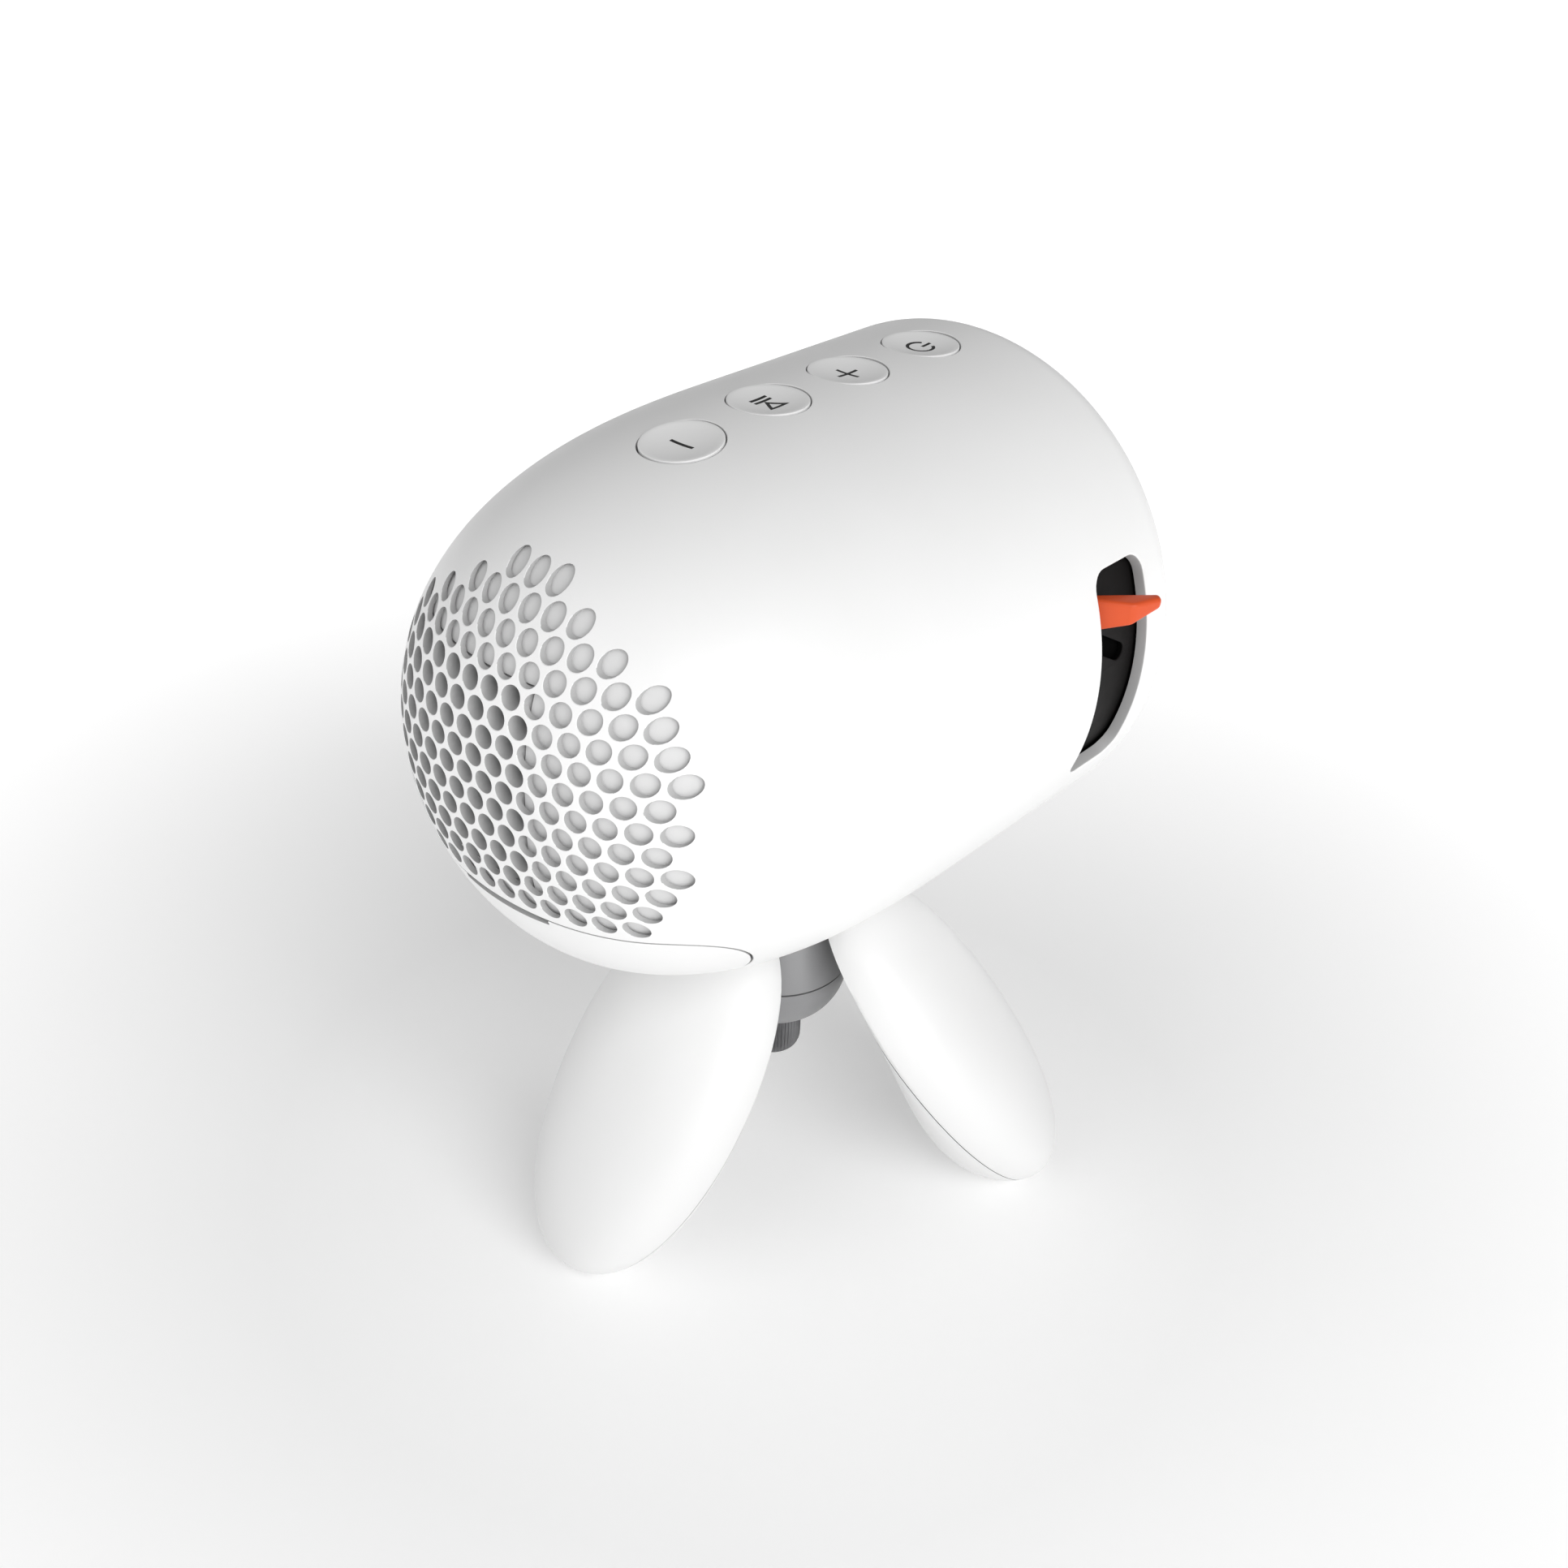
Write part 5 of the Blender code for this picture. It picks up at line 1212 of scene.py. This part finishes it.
def gloss_plastic(name, colour):
    """Polished plastic with a faint orange-peel and fine wiping marks in its roughness."""
    recipe = Recipe(name)
    recipe.tint(recipe.noise(60.0, 2.0), colour, tuple(c * 1.4 for c in colour))
    recipe.rough(recipe.drawn_out((40.0, 900.0, 300.0), 3.0, 6.0), 0.06, 0.16)
    recipe.link(recipe.bump(recipe.noise(420.0, 1.0), 0.05, 0.1 * MM), "Normal")
    return recipe.value(Coat_Weight=0.6, Coat_Roughness=0.04).stuff


def clear_glass(name, tint, coating):
    """Coated optical glass: a cool tint that turns with the angle, and faint dust."""
    recipe = Recipe(name)
    facing = recipe.node("ShaderNodeLayerWeight", {"Blend": 0.35}).outputs["Facing"]
    recipe.link(recipe.blend(facing, tint, coating), "Base Color")
    recipe.rough(recipe.noise(900.0, 5.0, 0.7), 0.015, 0.05)
    recipe.value(Transmission_Weight=0.9, IOR=1.5, Coat_Weight=0.5, Coat_Roughness=0.02)
    return recipe.stuff


def brushed_metal(name, colour, shade, roughness, stretch):
    """Bare metal with fine drawn lines and a little tarnish."""
    recipe = Recipe(name)
    lines = recipe.drawn_out(stretch, 10.0, 4.0)
    recipe.tint(recipe.noise(220.0, 4.0), colour, shade)
    recipe.rough(lines, roughness - 0.08, roughness + 0.1)
    recipe.link(recipe.bump(lines, 0.12, 0.03 * MM), "Normal")
    return recipe.value(Metallic=1.0).stuff


def board_lacquer(name):
    """Green solder mask over copper tracks, with tinned pads."""
    recipe = Recipe(name)
    layout = {"Vector": recipe.place, "Scale": 260.0, "Mortar Size": 0.035}
    layout.update({"Color1": (0, 0, 0, 1), "Color2": (0, 0, 0, 1), "Mortar": (1, 1, 1, 1)})
    cells = recipe.node("ShaderNodeTexBrick", layout)
    tracks = recipe.node("ShaderNodeRGBToBW", {"Color": cells.outputs["Color"]}).outputs["Val"]
    mask = recipe.blend(tracks, (0.008, 0.085, 0.035), (0.02, 0.17, 0.07))
    dots = recipe.node("ShaderNodeTexVoronoi", {"Vector": recipe.place, "Scale": 420.0})
    pads = recipe.remap(dots.outputs["Distance"], 1.0, 0.0, 0.16, 0.2)
    recipe.link(recipe.blend(pads, mask, (0.62, 0.60, 0.55)), "Base Color")
    recipe.rough(recipe.noise(300.0), 0.28, 0.42)
    recipe.link(recipe.bump(tracks, 0.4, 0.04 * MM), "Normal")
    return recipe.value(Coat_Weight=0.3, Coat_Roughness=0.2).stuff


def wrapped_cell(name):
    """Shrink sleeve of the battery: tight film with creases towards its ends."""
    recipe = Recipe(name)
    creases = recipe.drawn_out((30.0, 220.0, 30.0), 4.0, 5.0)
    recipe.tint(creases, (0.03, 0.09, 0.30), (0.06, 0.15, 0.42))
    recipe.rough(recipe.noise(500.0), 0.22, 0.36)
    recipe.link(recipe.bump(creases, 0.5, 0.2 * MM), "Normal")
    return recipe.stuff


def printed_ink(name):
    """Pad-printed black, slightly uneven."""
    recipe = Recipe(name)
    spots = recipe.remap(recipe.noise(2600.0, 3.0), 0.0, 1.0)
    recipe.link(recipe.blend(spots, grey(0.003), grey(0.007)), "Base Color")
    recipe.link(recipe.remap(spots, 0.45, 0.6, 0.0, 1.0), "Roughness")
    return recipe.stuff


def studio_floor(name):
    """Pale seamless sheet that glows a little as painted light, dimmer in the middle as a painted soft
    shadow where things stand.
    """
    recipe = Recipe(name)
    recipe.tint(recipe.noise(6.0, 3.0), grey(0.92), grey(0.94))
    recipe.rough(recipe.noise(40.0), 0.75, 0.85)
    distance = recipe.node("ShaderNodeVectorMath", {0: recipe.place}, operation="LENGTH")
    glow = recipe.remap(distance.outputs["Value"], *FLOOR_GLOW, *GLOW_REACH)
    recipe.link(glow, "Emission Strength")
    return recipe.value(Specular_IOR_Level=0.1, Emission_Color=(1.0, 1.0, 1.0, 1.0)).stuff


# Painted shade: a darker grey for vent walls, opening walls and the petal seams, standing in for the
# shade inside them.
PAINTED_SHADE = moulded_plastic("painted_shade_satin", grey(0.44), grey(0.48), 0.5)
LINER = moulded_plastic("liner_satin", grey(0.66), grey(0.70), 0.5)
WHITE = moulded_plastic("white_satin", (0.845, 0.845, 0.842), (0.862, 0.862, 0.861), 0.42)
GREY = moulded_plastic("grey_satin", (0.255, 0.255, 0.26), (0.28, 0.28, 0.285), 0.42)
DARK = moulded_plastic("dark_matt", grey(0.009), (0.013, 0.012, 0.012), 0.55, 0.5, 0.3)
DRUM = moulded_plastic("drum_matt", (0.005, 0.0045, 0.0045), (0.008, 0.007, 0.007), 0.6, 0.4, 0.12)
PAINTED_SHADOW_BLACK = moulded_plastic("painted_shadow_black", grey(0.001), grey(0.002), 0.8, 0.3, 0.02)
# Painted shadow: near black for the drum's cam slot groove and inner faces.
CHIP = moulded_plastic("chip_epoxy", (0.018, 0.018, 0.019), (0.03, 0.03, 0.032), 0.38, 0.3)
ORANGE = moulded_plastic("orange_satin", (0.63, 0.072, 0.014), (0.68, 0.085, 0.018), 0.4, 0.2, 0.35)
BLACK = gloss_plastic("black_gloss", (0.004, 0.004, 0.005))
GLASS = clear_glass("coated_glass", (0.75, 0.82, 0.92), (0.45, 0.35, 0.75))
BOARD = board_lacquer("board_green")
WRAP = wrapped_cell("cell_sleeve")
INK = printed_ink("mark_ink")
LEVEL, LENGTHWISE, UPRIGHT = (60.0, 60.0, 900.0), (60.0, 900.0, 60.0), (400.0, 400.0, 60.0)
STEEL = brushed_metal("plated_steel", (0.60, 0.60, 0.62), (0.48, 0.48, 0.50), 0.30, LEVEL)
KNOB = brushed_metal("knob_steel", (0.22, 0.22, 0.225), (0.15, 0.15, 0.155), 0.40, UPRIGHT)
ALUMINIUM = brushed_metal("milled_aluminium", (0.78, 0.78, 0.80), (0.66, 0.66, 0.68), 0.34, LENGTHWISE)
BRASS = brushed_metal("turned_brass", (0.80, 0.58, 0.26), (0.62, 0.42, 0.17), 0.28, LEVEL)

SLOT_LOOKS = {
    "white_plastic": WHITE, "grey_plastic": GREY, "dark_plastic": DARK, "gloss_black": BLACK,
    "lens_glass": GLASS, "orange_plastic": ORANGE, "circuit_board": BOARD, "chip_black": CHIP,
    "aluminium": ALUMINIUM, "steel": STEEL, "brass": BRASS, "battery_wrap": WRAP,
}


def dress_cad_nodes():
    """Every carried-over CAD node takes the look of its material slot."""
    for node in nodes.values():
        for slot in node.material_slots:
            base = slot.material.name.split(".")[0] if slot.material else ""
            slot.material = SLOT_LOOKS.get(base, DARK)


# ------------ build

def build():
    dress_cad_nodes()
    make_body_shell(WHITE, PAINTED_SHADE)
    make_hatch(WHITE, PAINTED_SHADE)
    make_liner(LINER)
    make_front_cap(WHITE)
    make_front_panel(BLACK)
    for name, station in button_stations().items():
        button_cap(name, station, WHITE)
        button_icon(name, station, INK)
    make_focus_drum(DRUM, PAINTED_SHADOW_BLACK)
    make_focus_lever(ORANGE)
    for side, azimuth in PETAL_AZIMUTHS.items():
        make_petal(side, azimuth, WHITE, PAINTED_SHADE)
    make_neck(GREY)
    make_neck_bowl(GREY)
    make_thumb_screw(KNOB)
    make_leg_hub(GREY)


# ------------ studio

FLOOR_HALF = 6.0


def make_floor():
    shape = bmesh.new()
    bmesh.ops.create_grid(shape, x_segments=2, y_segments=2, size=FLOOR_HALF)
    from_bmesh("studio_floor", shape, studio_floor("floor_paper"))


STUDIO_MIDDLE = Vector((0.0, 0.0, 0.07))
LIGHT_SIZE, SKY_STRENGTH = 1.0, 0.34
LIGHTS = {
    "key_light": (11.2, Vector((-1.12, 0.36, 0.62))),
    "fill_light": (2.8, Vector((0.35, 1.10, 0.65))),
}


def area_light(name, power, offset):
    """Soft square light at an offset from the middle of the studio, which it faces."""
    lamp = bpy.data.lights.new(name, "AREA")
    lamp.shape = "SQUARE"
    lamp.size = LIGHT_SIZE
    lamp.energy = power
    thing = added(name, lamp)
    thing.location = STUDIO_MIDDLE + offset
    thing.rotation_euler = (-offset).to_track_quat("-Z", "Y").to_euler()


def make_studio():
    make_floor()
    world = bpy.data.worlds.new("studio_world")
    bpy.context.scene.world = world
    world.use_nodes = True
    sky = world.node_tree.nodes["Background"]
    sky.inputs["Color"].default_value = (1.0, 1.0, 1.0, 1.0)
    sky.inputs["Strength"].default_value = SKY_STRENGTH
    for name, (power, offset) in LIGHTS.items():
        area_light(name, power, offset)
    bpy.context.scene.view_settings.view_transform = "Standard"


CAMERA_PLACE = Vector((-0.152436, 0.174924, 0.217652))
CAMERA_LENS, CAMERA_SENSOR = 41.63, 36.0
CAMERA_HEADING, CAMERA_PITCH, CAMERA_ROLL = 39.885, 31.949, 2.347


def make_camera():
    """Camera behind the projector on its lever side, looking down at it with a slight roll."""
    lens = bpy.data.cameras.new("camera")
    lens.sensor_width = CAMERA_SENSOR
    lens.lens = CAMERA_LENS
    lens.clip_start, lens.clip_end = 0.01, 50.0
    thing = added("camera", lens)
    heading, pitch = math.radians(CAMERA_HEADING), math.radians(CAMERA_PITCH)
    level = Vector((math.sin(heading), -math.cos(heading), 0.0))
    forward = level * math.cos(pitch) - UP * math.sin(pitch)
    right = forward.cross(UP).normalized()
    upward = right.cross(forward)
    turn = facing_along(right, upward, -forward)
    roll = Matrix.Rotation(math.radians(CAMERA_ROLL), 4, "Z")
    thing.matrix_world = Matrix.Translation(CAMERA_PLACE) @ turn @ roll
    bpy.context.scene.camera = thing


build()
make_studio()
make_camera()
